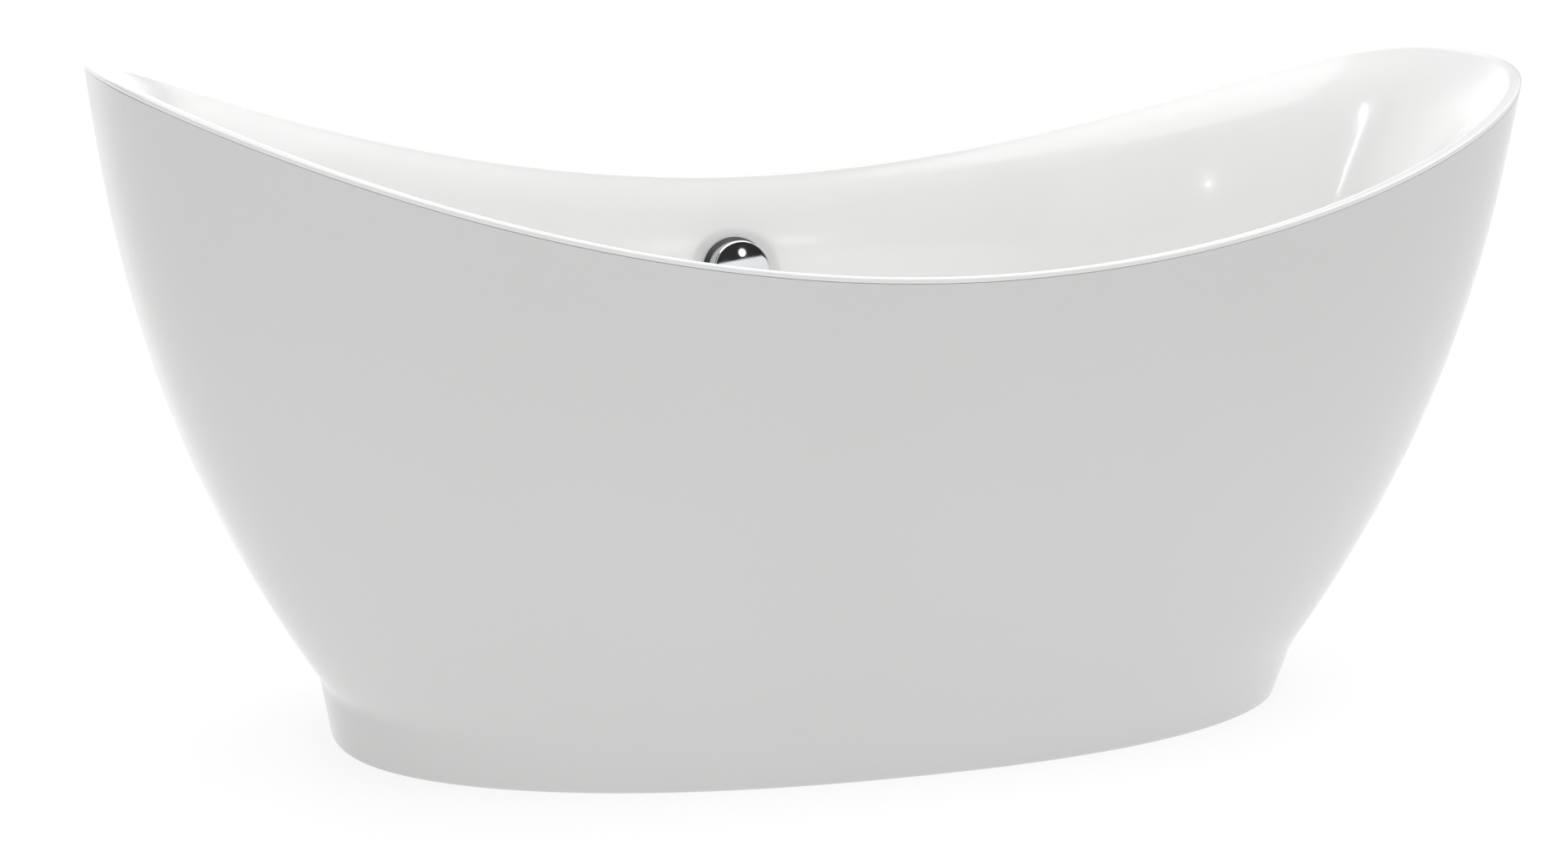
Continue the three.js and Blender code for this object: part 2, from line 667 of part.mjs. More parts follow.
add("overflow_body", overflowBody(), PLASTIC, overflow);
const gasketBack = -BOSS.back - GAP;
add("overflow_gasket", ring(OVERFLOW.hole + 1, 39, gasketBack - 2, gasketBack, FINE), RUBBER, overflow);

// The clamp flange lies in the dish: a ring, a hub and two wide spokes that take the screws.
const CLAMP = { z0: -DISH.depth + GAP, z1: -DISH.depth + GAP + 2.6, inner: 25, outer: 34, hub: 9 };

function clampFlange() {
  const { z0, z1, inner, outer, hub } = CLAMP;
  const spoke = box(-inner - 2, inner + 2, -6, 6, z0, z1);
  return carve(
    [ring(inner, outer, z0, z1, FINE), disc(hub, z0, z1, 24), spoke],
    [
      disc(SPINDLE.radius + SPINDLE.clear, z0 - 1, z1 + 1, 24),
      ...[-1, 1].map((side) =>
        disc(OVERFLOW_SCREW.shank + GAP, z0 - 1, z1 + 1, 12).translate(side * OVERFLOW_SCREW.x, 0, 0),
      ),
    ],
  );
}

add("overflow_clamp_flange", clampFlange(), CHROME, overflow);

function overflowScrew() {
  const { shank, head } = OVERFLOW_SCREW;
  const seat = CLAMP.z1 + GAP;
  return turned([[0, -31], [shank, -30], [shank, seat], [head, seat], [head, seat + 1], [2.5, seat + 2.2],
    [0, seat + 2.2]], 12);
}

for (const [side, sign] of [["left", -1], ["right", 1]]) {
  add(`overflow_screw_${side}`, overflowScrew(), ZINC, overflow).position.x = sign * OVERFLOW_SCREW.x;
}

// The spindle carries the cable drum at its back and ends in a square inside the knob.
function knobSpindle() {
  const { radius, back, front, squareEnd } = SPINDLE;
  return carve([
    disc(radius, back, front, 24),
    box(-2.8, 2.8, -2.8, 2.8, front - 1, squareEnd),
    disc(CABLE_DRUM, CABLE_END.z - 3, CABLE_END.z + 3),
  ]);
}

add("knob_spindle", knobSpindle(), PLASTIC, overflow);

// A hollow drum that flares to a ring over the dish, with a domed face and a hub for the square.
const KNOB = {
  base: -0.5, ringRadius: 45, waist: 8, drumRadius: 40, edge: 25.5, edgeRadius: 38.5, dome: 30, wall: 2.5,
};

function overflowKnob() {
  const { base, ringRadius, waist, drumRadius, edge, edgeRadius, dome, wall } = KNOB;
  const drum = turned([
    [ringRadius - wall, base], [ringRadius, base], [ringRadius, base + 1.5], [drumRadius, waist],
    [edgeRadius, edge], [edgeRadius - 1.2, edge + 2.2], [24, dome - 0.9], [12, dome - 0.2], [0, dome],
    [0, dome - wall], [24, dome - wall - 1], [edgeRadius - wall - 1, edge], [edgeRadius - wall, edge - 1.5],
    [drumRadius - wall, waist - 1],
  ], FINE);
  const hub = disc(8, 2.5, dome - wall + 0.5, 24);
  return carve([drum, hub], [box(-3.2, 3.2, -3.2, 3.2, 1, SPINDLE.squareEnd + GAP)]);
}

add("overflow_knob", overflowKnob(), CHROME, overflow);

// ---------------------------------------------------------------- overflow pipe and cable

const HOSE = { outer: 16, bore: 13.9 };
const upperEnd = (x, y, z) => v3(x, y, z).applyMatrix4(overflow.matrix);

// The pipe slides over both stubs, hangs down between the two shells and runs in under the frame.
const pipeRoute = [
  v3(0, BRANCH.end - 16, BRANCH.z),
  v3(0, 70, BRANCH.z),
  v3(0, 100, BRANCH.z),
  v3(-2, 190, 80),
  v3(-6, 245, 94),
  v3(-9, 284, 136),
  v3(-12, 308, 200),
  v3(-12, 335, 285),
  v3(-12, 349, 345),
  upperEnd(OUTLET.x, OUTLET.end - 26, OUTLET.z),
  upperEnd(OUTLET.x, OUTLET.end - 8, OUTLET.z),
  upperEnd(OUTLET.x, OUTLET.end + 16, OUTLET.z),
];
add("overflow_pipe", hose(pipeRoute, HOSE.outer, HOSE.bore, 24, 12), WHITE_PLASTIC);

function hoseClamp() {
  const band = ring(HOSE.outer + GAP, HOSE.outer + 1.5, -4, 4, 28);
  const housing = box(-6, 6, HOSE.outer + 0.8, HOSE.outer + 7, -4.5, 4.5);
  return carve([band, housing]);
}

const lowerClamp = add("pipe_clamp_lower", hoseClamp(), ZINC);
lowerClamp.position.set(0, BRANCH.end - 8, BRANCH.z);
lowerClamp.rotation.x = Math.PI / 2;

const upperClamp = add("pipe_clamp_upper", hoseClamp(), ZINC, overflow);
upperClamp.position.set(OUTLET.x, OUTLET.end + 8, OUTLET.z);
upperClamp.rotation.x = Math.PI / 2;
upperClamp.rotation.z = Math.PI / 2;

const SHEATH = { outer: 2.5, bore: 1.3 };
const WIRE = { lowEnd: 66, highEnd: -68, pin: 1.5 };

// The sheath leaves the drain body's anchor level, follows the pipe and ends under the overflow.
const sheathRoute = [
  v3(WIRE_X, ANCHOR.y1 + GAP, wireZ),
  v3(WIRE_X, 70, wireZ),
  v3(WIRE_X, 92, wireZ),
  v3(38, 150, 62),
  v3(30, 215, 66),
  v3(24, 258, 92),
  v3(19, 292, 140),
  v3(16, 316, 205),
  v3(14, 338, 290),
  v3(CABLE_END.x + 1, 349, 342),
  upperEnd(CABLE_END.x, -74, CABLE_END.z),
  upperEnd(CABLE_END.x, -56, CABLE_END.z),
  upperEnd(CABLE_END.x, CABLE_END.y - GAP, CABLE_END.z),
];
add("cable_sheath", hose(sheathRoute, SHEATH.outer, SHEATH.bore, 36, 6), PLASTIC);

// The wire's two bare ends. The lower one holds a cross pin that lies in the slot of the lever arm.
const pinY = LEVER.y - LEVER.arm * Math.sin(LEVER_SWING / 2);
const lowerWire = carve([
  bar("y", WIRE_RADIUS, pinY, WIRE.lowEnd, [WIRE_X, 0, wireZ], 10),
  bar("x", WIRE.pin, 34.5, WIRE_X + 1.5, [0, pinY, wireZ], 12),
]);
add("cable_wire_lower", lowerWire, ZINC);

const upperWire = carve([
  bar("y", WIRE_RADIUS, WIRE.highEnd, 4, [CABLE_END.x, 0, CABLE_END.z], 10),
  bar("y", 1.15, 3, 6, [CABLE_END.x, 0, CABLE_END.z], 10),
]);
add("cable_wire_upper", upperWire, ZINC, overflow);

export default bath;
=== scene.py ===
# The looks of the freestanding bathtub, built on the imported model.
#
# The form is written in millimetres, as it is in the CAD, and meshes are made in metres. X runs
# along the bath, the overflow is in the wall at +Y, and the floor is at Z = 0.

import json
import math

import bmesh
import bpy
import numpy as np
from mathutils import Matrix, Vector


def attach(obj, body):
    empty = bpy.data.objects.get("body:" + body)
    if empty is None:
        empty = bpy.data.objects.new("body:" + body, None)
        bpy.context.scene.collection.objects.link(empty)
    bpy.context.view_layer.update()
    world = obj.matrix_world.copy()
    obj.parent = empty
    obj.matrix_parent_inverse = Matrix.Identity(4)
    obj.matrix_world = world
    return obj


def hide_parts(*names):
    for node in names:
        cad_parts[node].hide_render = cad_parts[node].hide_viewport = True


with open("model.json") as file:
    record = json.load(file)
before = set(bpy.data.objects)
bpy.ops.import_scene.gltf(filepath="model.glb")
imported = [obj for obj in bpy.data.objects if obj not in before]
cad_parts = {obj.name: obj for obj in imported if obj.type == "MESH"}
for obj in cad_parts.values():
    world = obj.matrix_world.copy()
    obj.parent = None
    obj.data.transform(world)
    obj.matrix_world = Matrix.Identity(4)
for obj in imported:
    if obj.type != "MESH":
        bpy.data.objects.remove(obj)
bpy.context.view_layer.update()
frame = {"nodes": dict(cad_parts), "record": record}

MM = 0.001
scene = bpy.context.scene

# ---------- sizes shared between sections

LENGTH = 1720
WIDTH = 800
END_HEIGHT = 784
MIDDLE_HEIGHT = 593
RIM_POWER = 1.94
GAP = 0.3
SHELL_WALL = 5
BASIN_WALL = 7
LIP_HEIGHT = 6
FLOOR_Z = 158
FLOOR_BACK = FLOOR_Z - BASIN_WALL
PLINTH_HEIGHT = 72
BOARD_THICKNESS = 18
BOARD_PLIES = 9
OVERFLOW_HEIGHT = 474
OVERFLOW_TILT = math.radians(13)

# ---------- camera

AZIMUTH = math.radians(-20.471)
ELEVATION = math.radians(12.719)
DISTANCE = 3.65293
AIM_ALONG = -0.05092  # sideways from the bath's middle
AIM_HEIGHT = 0.33623
ROLL = math.radians(1.456)
LENS = 69.84


def add_camera():
    back = Vector((
        math.sin(AZIMUTH) * math.cos(ELEVATION),
        -math.cos(AZIMUTH) * math.cos(ELEVATION),
        math.sin(ELEVATION),
    ))
    right = Vector((math.cos(AZIMUTH), math.sin(AZIMUTH), 0))
    up = back.cross(right)
    place = Vector((0, 0, AIM_HEIGHT)) + right * AIM_ALONG + back * DISTANCE
    rolled_right = right * math.cos(ROLL) + up * math.sin(ROLL)
    rolled_up = up * math.cos(ROLL) - right * math.sin(ROLL)
    turn = Matrix((rolled_right, rolled_up, back)).transposed()
    data = bpy.data.cameras.new("camera")
    data.lens = LENS
    data.sensor_width = 36
    data.clip_end = 200
    camera = bpy.data.objects.new("camera", data)
    camera.matrix_world = Matrix.Translation(place) @ turn.to_4x4()
    scene.collection.objects.link(camera)
    scene.camera = camera


add_camera()

# ---------- node materials


class Graph:
    """Short ways to add nodes to a tree. Its place is the coordinate that textures read."""

    def __init__(self, tree, coordinate):
        self.tree = tree
        self.place = self.add("ShaderNodeTexCoord").outputs[coordinate]

    def add(self, kind, **settings):
        node = self.tree.nodes.new(kind)
        for key, value in settings.items():
            setattr(node, key, value)
        return node

    def link(self, source, target):
        self.tree.links.new(source, target)

    def axes(self, vector=None):
        node = self.add("ShaderNodeSeparateXYZ")
        self.link(vector or self.place, node.inputs["Vector"])
        return node.outputs["X"], node.outputs["Y"], node.outputs["Z"]

    def towards(self, direction):
        """How nearly the coordinate points along a direction, from -1 to 1."""
        node = self.add("ShaderNodeVectorMath", operation="DOT_PRODUCT")
        self.link(self.place, node.inputs[0])
        node.inputs[1].default_value = direction
        return node.outputs["Value"]

    def stretched(self, scale):
        """The coordinate, scaled by a different amount along each axis."""
        node = self.add("ShaderNodeMapping")
        self.link(self.place, node.inputs["Vector"])
        node.inputs["Scale"].default_value = scale
        return node.outputs["Vector"]

    def noise(self, scale, detail=3.0, place=None):
        node = self.add("ShaderNodeTexNoise")
        self.link(place or self.place, node.inputs["Vector"])
        node.inputs["Scale"].default_value = scale
        node.inputs["Detail"].default_value = detail
        return node.outputs["Fac"]

    def cells(self, scale, place=None, output="Distance"):
        node = self.add("ShaderNodeTexVoronoi")
        self.link(place or self.place, node.inputs["Vector"])
        node.inputs["Scale"].default_value = scale
        return node.outputs[output]

    def spread(self, value, low, high, start=0.3, end=0.7, smooth=False):
        """Maps a value that runs from start to end onto low to high."""
        node = self.add("ShaderNodeMapRange", interpolation_type="SMOOTHSTEP" if smooth else "LINEAR")
        self.link(value, node.inputs["Value"])
        node.inputs["From Min"].default_value = start
        node.inputs["From Max"].default_value = end
        node.inputs["To Min"].default_value = low
        node.inputs["To Max"].default_value = high
        return node.outputs["Result"]

    def math(self, operation, first, second=0.0):
        node = self.add("ShaderNodeMath", operation=operation)
        for socket, value in zip(node.inputs, (first, second)):
            if isinstance(value, (int, float)):
                socket.default_value = value
            else:
                self.link(value, socket)
        return node.outputs["Value"]

    def mix(self, share, first, second):
        """Blends two colours, each a tuple or a socket."""
        node = self.add("ShaderNodeMix", data_type="RGBA")
        factor, *ends = [socket for socket in node.inputs if socket.enabled]
        self.link(share, factor)
        for socket, colour in zip(ends, (first, second)):
            if isinstance(colour, tuple):
                socket.default_value = (*colour, 1.0)
            else:
                self.link(colour, socket)
        return next(socket for socket in node.outputs if socket.enabled)


class Nodes(Graph):
    """A principled material."""

    def __init__(self, name):
        self.material = bpy.data.materials.new(name)
        self.material.use_nodes = True
        super().__init__(self.material.node_tree, "Object")
        self.shader = self.tree.nodes["Principled BSDF"]

    def colour(self, source):
        self.link(source, self.shader.inputs["Base Color"])

    def roughness(self, source):
        self.link(source, self.shader.inputs["Roughness"])

    def bump(self, height, depth, strength=1.0):
        """Bumps as deep as depth, in metres."""
        node = self.add("ShaderNodeBump")
        node.inputs["Strength"].default_value = strength
        node.inputs["Distance"].default_value = depth
        self.link(height, node.inputs["Height"])
        self.link(node.outputs["Normal"], self.shader.inputs["Normal"])

    def set(self, **sockets):
        for key, value in sockets.items():
            self.shader.inputs[key.replace("_", " ")].default_value = value
        return self.material


def acrylic(name, tone, coat):
    """Gloss white sheet, with faint orange peel and an uneven polish."""
    nodes = Nodes(name)
    patches = nodes.noise(2.5)
    light = tuple(tone * c for c in (1.0, 1.0, 0.996))
    dull = tuple(tone * c for c in (0.985, 0.985, 0.978))
    nodes.colour(nodes.mix(nodes.spread(patches, 0, 1), dull, light))
    nodes.roughness(nodes.spread(nodes.noise(14, detail=5), 0.11, 0.2))
    nodes.bump(nodes.noise(90, detail=1), 0.00004, strength=0.35)
    return nodes.set(IOR=1.49, Coat_Weight=coat, Coat_Roughness=0.04)


def fibreglass(name):
    """The sprayed resin backing: matted strands under a waxy gloss."""
    nodes = Nodes(name)
    strands = nodes.cells(240, nodes.stretched((1, 2.6, 1)))
    crossing = nodes.cells(210, nodes.stretched((2.4, 1, 1.7)))
    mat = nodes.math("ADD", strands, crossing)
    stain = nodes.spread(nodes.noise(6, detail=6), 0, 1)
    resin = nodes.mix(stain, (0.47, 0.43, 0.3), (0.62, 0.6, 0.47))
    nodes.colour(nodes.mix(nodes.spread(mat, 0, 1, 0.2, 1.1), resin, (0.72, 0.71, 0.6)))
    nodes.roughness(nodes.spread(nodes.noise(40), 0.3, 0.6))
    nodes.bump(mat, 0.0009, strength=0.8)
    return nodes.set(IOR=1.5)


def plated(name, colour, roughness, scratch_depth=0.000002):
    """Polished plate with hairline scratches and a faint bloom."""
    nodes = Nodes(name)
    bloom = nodes.spread(nodes.noise(28, detail=6), 0, 1)
    nodes.colour(nodes.mix(bloom, tuple(c * 0.94 for c in colour), colour))
    smear = nodes.noise(60, detail=8, place=nodes.stretched((1, 1, 0.2)))
    nodes.roughness(nodes.spread(smear, roughness * 0.7, roughness * 1.5))
    nodes.bump(nodes.noise(700, detail=2, place=nodes.stretched((1, 0.08, 1))), scratch_depth)
    return nodes.set(Metallic=1.0)


def spangled(name, colour):
    """Zinc: small crystals of different brightness, and a dulled surface."""
    nodes = Nodes(name)
    crystal = nodes.cells(420, output="Color")
    grey = nodes.add("ShaderNodeRGBToBW")
    nodes.link(crystal, grey.inputs["Color"])
    tone = nodes.math("MULTIPLY", grey.outputs["Val"], nodes.spread(nodes.noise(35), 0.8, 1.0))
    nodes.colour(nodes.mix(tone, tuple(c * 0.72 for c in colour), colour))
    nodes.roughness(nodes.spread(tone, 0.42, 0.27, 0, 1))
    nodes.bump(grey.outputs["Val"], 0.00003)
    return nodes.set(Metallic=1.0)


def powder_coat(name, colour):
    """Black powder coat over box section: pebbled, scuffed paler in patches."""
    nodes = Nodes(name)
    scuffs = nodes.spread(nodes.noise(22, detail=8), 0, 1, 0.56, 0.72)
    nodes.colour(nodes.mix(scuffs, colour, tuple(c * 2.2 + 0.01 for c in colour)))
    nodes.roughness(nodes.spread(nodes.noise(70), 0.42, 0.6))
    nodes.bump(nodes.noise(850, detail=2), 0.00008)
    return nodes.set(Metallic=0.0)


def moulded(name, colour, roughness, texture_depth):
    """Injection-moulded plastic or rubber, with a spark-eroded texture."""
    nodes = Nodes(name)
    haze = nodes.spread(nodes.noise(30, detail=6), 0, 1)
    nodes.colour(nodes.mix(haze, colour, tuple(c * 1.25 + 0.004 for c in colour)))
    nodes.roughness(nodes.spread(nodes.noise(80), roughness * 0.85, min(roughness * 1.2, 1.0)))
    nodes.bump(nodes.noise(1300, detail=2), texture_depth)
    return nodes.set(IOR=1.5)


def plywood(name):
    """Grain along X on the faces, and glue lines between the plies round the edge."""
    nodes = Nodes(name)
    grain = nodes.noise(30, detail=8, place=nodes.stretched((0.12, 1, 1)))
    fine = nodes.noise(260, detail=4, place=nodes.stretched((0.06, 1, 1)))
    figure = nodes.math("ADD", grain, nodes.math("MULTIPLY", fine, 0.4))
    face = nodes.mix(nodes.spread(figure, 0, 1, 0.5, 0.95), (0.34, 0.2, 0.1), (0.6, 0.42, 0.24))
    plies_per_metre = BOARD_PLIES / (BOARD_THICKNESS * MM)
    ply = nodes.math("FRACT", nodes.math("MULTIPLY", nodes.axes()[2], plies_per_metre))
    line = nodes.spread(ply, 1, 0, 0.0, 0.22)
    edge = nodes.mix(line, face, (0.13, 0.07, 0.035))
    facing = nodes.add("ShaderNodeNewGeometry").outputs["True Normal"]
    upright = nodes.math("LESS_THAN", nodes.math("ABSOLUTE", nodes.axes(facing)[2]), 0.5)
    nodes.colour(nodes.mix(upright, face, edge))
    nodes.roughness(nodes.spread(figure, 0.6, 0.85, 0.5, 0.95))
    nodes.bump(figure, 0.0002, strength=0.6)
    return nodes.set(IOR=1.45)


BACKING = fibreglass("glass_fibre_backing")
SLOTS = {
    # One acrylic in two tones: the shell's greyer white is painted shade on the outer wall, against the
    # basin's brighter white inside.
    "shell_acrylic": acrylic("shell_white_painted_shade", 0.718, 0.05),
    "basin_acrylic": acrylic("basin_white", 0.88, 0.25),
    "chrome": plated("chrome", (0.72, 0.73, 0.75), 0.045),
    "brass": plated("brass", (0.75, 0.55, 0.27), 0.24, 0.00003),
    "zinc_steel": spangled("zinc", (0.66, 0.67, 0.69)),
    "frame_steel": powder_coat("frame_black", (0.028, 0.029, 0.031)),
    "plywood": plywood("plywood"),
    "rubber": moulded("rubber", (0.012, 0.012, 0.013), 0.75, 0.00003),
    "black_plastic": moulded("black_plastic", (0.025, 0.026, 0.028), 0.42, 0.00004),
    "cable_plastic": moulded("cable_plastic", (0.018, 0.018, 0.02), 0.35, 0.00002),
    "white_plastic": moulded("white_plastic", (0.72, 0.72, 0.69), 0.38, 0.00003),
}

# ---------- meshes


def body_of_node(node):
    for body, nodes in frame["record"]["behaviour"]["bodies"].items():
        if node in nodes:
            return body
    raise KeyError(node)


def piece(name, points, faces, slot, extra=(), kinds=None, crease=35):
    """A shaded mesh from points in millimetres. Kinds say which faces have an extra material."""
    mesh = bpy.data.meshes.new(name)
    mesh.from_pydata((np.asarray(points, dtype=float) * MM).tolist(), [], faces)
    for material in (SLOTS[slot], *extra):
        mesh.materials.append(material)
    if kinds is not None:
        mesh.polygons.foreach_set("material_index", kinds)
    tidy(mesh, crease)
    made = bpy.data.objects.new(name, mesh)
    scene.collection.objects.link(made)
    return made


def tidy(mesh, crease):
    """Joins coincident points, faces everything outwards and shades it, with edges past crease sharp."""
    work = bmesh.new()
    work.from_mesh(mesh)
    bmesh.ops.remove_doubles(work, verts=work.verts, dist=1e-6)
    bmesh.ops.recalc_face_normals(work, faces=work.faces)
    work.to_mesh(mesh)
    work.free()
    mesh.shade_smooth()
    mesh.set_sharp_from_angle(angle=math.radians(crease))


def stands_for(made, node):
    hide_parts(node)
    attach(made, body_of_node(node))


def circle_angles(sides):
    return np.linspace(0, 2 * math.pi, sides, endpoint=False)


def round_ring(angle, radius, z):
    return np.stack([radius * np.cos(angle), radius * np.sin(angle), z + 0 * angle], axis=-1)


def ring_stack(rings):
    """Stacks rings of points into one list, with the number of rings and points a ring."""
    stack = np.stack(rings)
    return stack.reshape(-1, 3), stack.shape[0], stack.shape[1]


def grid_faces(rows, columns, close_rows):
    """Quads between neighbouring rows, each of which is a closed ring."""
    faces = []
    for row in range(rows if close_rows else rows - 1):
        here = row * columns
        there = (row + 1) % rows * columns
        for column in range(columns):
            beside = (column + 1) % columns
            faces.append((here + column, here + beside, there + beside, there + column))
    return faces


def front_and_back(faces, columns, front_rings):
    """Material 0 for the faces between the first rings, and 1, the backing, for those after."""
    return [0 if index // columns < front_rings - 1 else 1 for index in range(len(faces))]


def turned_rings(angle, profile):
    """One round ring for each (radius, z) of a profile."""
    return [round_ring(angle, radius, z) for radius, z in profile]


def lathe(profile, sides, closed=True):
    """A profile of (radius, z) turned about +Z. Where it isn't closed it starts and ends on the axis."""
    angle = circle_angles(sides)
    points, rows, columns = ring_stack([round_ring(angle, max(radius, 0), z) for radius, z in profile])
    return points, grid_faces(rows, columns, close_rows=closed)


def moved(points, matrix):
    return np.asarray(points) @ matrix[:3, :3].T + matrix[:3, 3]


# ---------- the outer form

# The half length and half width of the form where the plinth starts and ends.
FOOT_HALF = (598, 298)
CREASE_HALF = (610.5, 322)
# How fast they grow with height, just above the crease and at the rim.
END_SLOPE = (0.697, 0.112)
SIDE_SLOPE = (0.27, -0.021)
SQUARENESS = {"foot": 2.25, "crease": 2.38, "rim": 2.68, "floor": 2.3}
CREASE_BLEND = 9  # half the height over which the crease above the plinth is softened


def lerp(a, b, share):
    return a + (b - a) * share


def smoothstep(start, end, value):
    share = np.clip((value - start) / (end - start), 0, 1)
    return share * share * (3 - 2 * share)


def rise(z, z1, z2, a, b, slope):
    """A smooth curve from (z1, a) to (z2, b) with the given end slopes, straight on above z2."""
    span = z2 - z1
    u = np.clip((z - z1) / span, 0, 1)
    curve = (
        (2 * u**3 - 3 * u**2 + 1) * a
        + (u**3 - 2 * u**2 + u) * span * slope[0]
        + (3 * u**2 - 2 * u**3) * b
        + (u**3 - u**2) * span * slope[1]
    )
    return curve + np.maximum(0, z - z2) * slope[1]


def sharp_half(z, foot, crease, top, height, slope):
    plinth = lerp(foot, crease, z / PLINTH_HEIGHT)
    return np.where(z < PLINTH_HEIGHT, plinth, rise(z, PLINTH_HEIGHT, height, crease, top, slope))


def sharp_squareness(z):
    low = lerp(SQUARENESS["foot"], SQUARENESS["crease"], z / PLINTH_HEIGHT)
    share = np.minimum((z - PLINTH_HEIGHT) / (END_HEIGHT - PLINTH_HEIGHT), 1)
    return np.where(z < PLINTH_HEIGHT, low, lerp(SQUARENESS["crease"], SQUARENESS["rim"], share))


def softened(function, z):
    """The function averaged over a short height, which rounds off the crease."""
    offsets = np.linspace(-CREASE_BLEND, CREASE_BLEND, 13)
    near = np.abs(z - PLINTH_HEIGHT) < CREASE_BLEND
    average = sum(function(z + offset) for offset in offsets) / len(offsets)
    return np.where(near, average, function(z))


def half_length(z):
    return softened(
        lambda h: sharp_half(h, FOOT_HALF[0], CREASE_HALF[0], LENGTH / 2, END_HEIGHT, END_SLOPE), z
    )


def half_width(z):
    return softened(
        lambda h: sharp_half(h, FOOT_HALF[1], CREASE_HALF[1], WIDTH / 2, MIDDLE_HEIGHT, SIDE_SLOPE), z
    )


def oval(angle, length, width, squareness, z):
    """Points of a rounded oval, one for each angle."""
    c, s = np.cos(angle), np.sin(angle)
    reach = (np.abs(c) ** squareness + np.abs(s) ** squareness) ** (-1 / squareness)
    return np.stack([length * c * reach, width * s * reach, z + 0 * angle], axis=-1)


def outer_ring(angle, z, inset=0.0):
    z = z + 0 * angle
    return oval(angle, half_length(z) - inset, half_width(z) - inset, sharp_squareness(z), z)


def rim_height(angle):
    """Height of the rim, where the outer form meets the rim's long saddle."""
    z = MIDDLE_HEIGHT + 0 * angle
    for _ in range(12):
        along = np.minimum(np.abs(outer_ring(angle, z)[..., 0]) / (LENGTH / 2), 1)
        z = MIDDLE_HEIGHT + (END_HEIGHT - MIDDLE_HEIGHT) * along**RIM_POWER
    return z


def outer_shell():
    """The skirt. Its rings are level round the plinth, and above it they follow the rim."""
    foot_ease = 1.2
    top_ease = 0.6
    level_to = 84
    angle = circle_angles(320)
    top = rim_height(angle) - LIP_HEIGHT - GAP
    low = np.concatenate([[0, 0.4, foot_ease], np.linspace(4, 56, 9), np.linspace(60, level_to, 13)])
    outside = [outer_ring(angle, z, foot_ease - min(z, foot_ease)) for z in low]
    for share in np.linspace(0, 1, 60)[1:]:
        outside.append(outer_ring(angle, lerp(level_to, top - top_ease, share)))
    outside.append(outer_ring(angle, top, top_ease))
    inside = []
    for share in np.linspace(1, 0, 24):
        inside.append(outer_ring(angle, lerp(level_to, top, share), SHELL_WALL))
    inside += [outer_ring(angle, z, SHELL_WALL) for z in (78, 72, 66, 50, 30, 12, 0)]
    points, rows, columns = ring_stack(outside + inside)
    faces = grid_faces(rows, columns, close_rows=True)
    kinds = front_and_back(faces, columns, len(outside))
    made = piece("shell", points, faces, "shell_acrylic", [BACKING], kinds)
    stands_for(made, "outer_shell")


outer_shell()

# ---------- basin

# The inside wall from the lip to the drain: half length, half width, and the share of the depth.
INSIDE = np.array([
    (846, 386, 1), (838, 383, 0.985), (800, 367, 0.92), (744, 342, 0.75), (676, 318, 0.47),
    (600, 290, 0.24), (530, 250, 0.1), (440, 190, 0.025), (300, 120, 0.006), (120, 60, 0.001),
], dtype=float)
# The rolled lip's crown, then its edge and underside, as (inset from the outer form, drop below the rim).
LIP_TOP = [
    (13, 1.2), (12, 0.95), (11, 0.7), (10, 0.5), (9, 0.32), (8, 0.18), (7, 0.08), (6, 0.02), (5, 0),
    (4, 0), (3, 0),
]
LIP_EDGE = [
    (2.3, 0.1), (1.6, 0.35), (1.0, 0.75), (0.5, 1.3), (0.2, 1.9), (0, 2.6), (0, 3.8), (0, 5.2),
    (0.25, 5.8), (0.9, 6), (3, 6), (8, 6), (14, 6),
]
# Shares of the way from the lip to the drain.
NEAR_RIM = 0.25
BELOW_OVERFLOW = 0.44
BACK_BELOW_OVERFLOW = 0.46
BACK_START = 2 / 12
OVERFLOW_HOLE = 26
DISH_DEPTH = 4
DISH_SEAT = 47
DISH_EDGE = 64
BOSS_DEPTH = 14
BOSS_SEAT = 43
BOSS_EDGE = 58
DRAIN_RECESS = [
    (27, FLOOR_BACK), (27, 153.2), (27.8, 154), (36.6, 154), (37.6, 154.3), (38, 155.2), (38, 157),
    (38.4, 157.7), (39.4, FLOOR_Z), (48, 158.1),
]
DRAIN_BACK_RADIUS = 40


def catmull_rom(points, share):
    """A point of the centripetal Catmull-Rom curve through the points, at a share of their number."""
    last = len(points) - 1
    index = min(int(share * last), last - 1)
    weight = share * last - index
    p1, p2 = points[index], points[index + 1]
    p0 = points[index - 1] if index > 0 else 2 * p1 - p2
    p3 = points[index + 2] if index + 2 <= last else 2 * p2 - p1
    d0, d1, d2 = (np.linalg.norm(b - a) ** 0.5 for a, b in ((p0, p1), (p1, p2), (p2, p3)))
    start = ((p1 - p0) / d0 - (p2 - p0) / (d0 + d1) + (p2 - p1) / d1) * d1
    end = ((p2 - p1) / d1 - (p3 - p1) / (d1 + d2) + (p3 - p2) / d2) * d1
    square = 3 * (p2 - p1) - 2 * start - end
    cube = 2 * (p1 - p2) + start + end
    return p1 + start * weight + square * weight**2 + cube * weight**3


def inside_ring(angle, share):
    """A ring of the inside wall, at a share of the way from the lip to the drain."""
    length, width, depth = catmull_rom(INSIDE, share)
    rim = rim_height(angle)
    squareness = lerp(SQUARENESS["floor"], sharp_squareness(rim), depth)
    return oval(
        angle,
        length / (LENGTH / 2) * half_length(rim),
        width / (WIDTH / 2) * half_width(rim),
        squareness,
        FLOOR_Z + (rim - FLOOR_Z) * depth,
    )


def back_ring(angle, share):
    """The same ring on the back of the wall, set off square to it."""
    step = 0.001
    around = inside_ring(angle + step, share) - inside_ring(angle - step, share)
    up = inside_ring(angle, max(share - step, 0)) - inside_ring(angle, min(share + step, 1))
    out = np.cross(around, up)
    out /= np.linalg.norm(out, axis=-1, keepdims=True)
    return inside_ring(angle, share) + out * BASIN_WALL


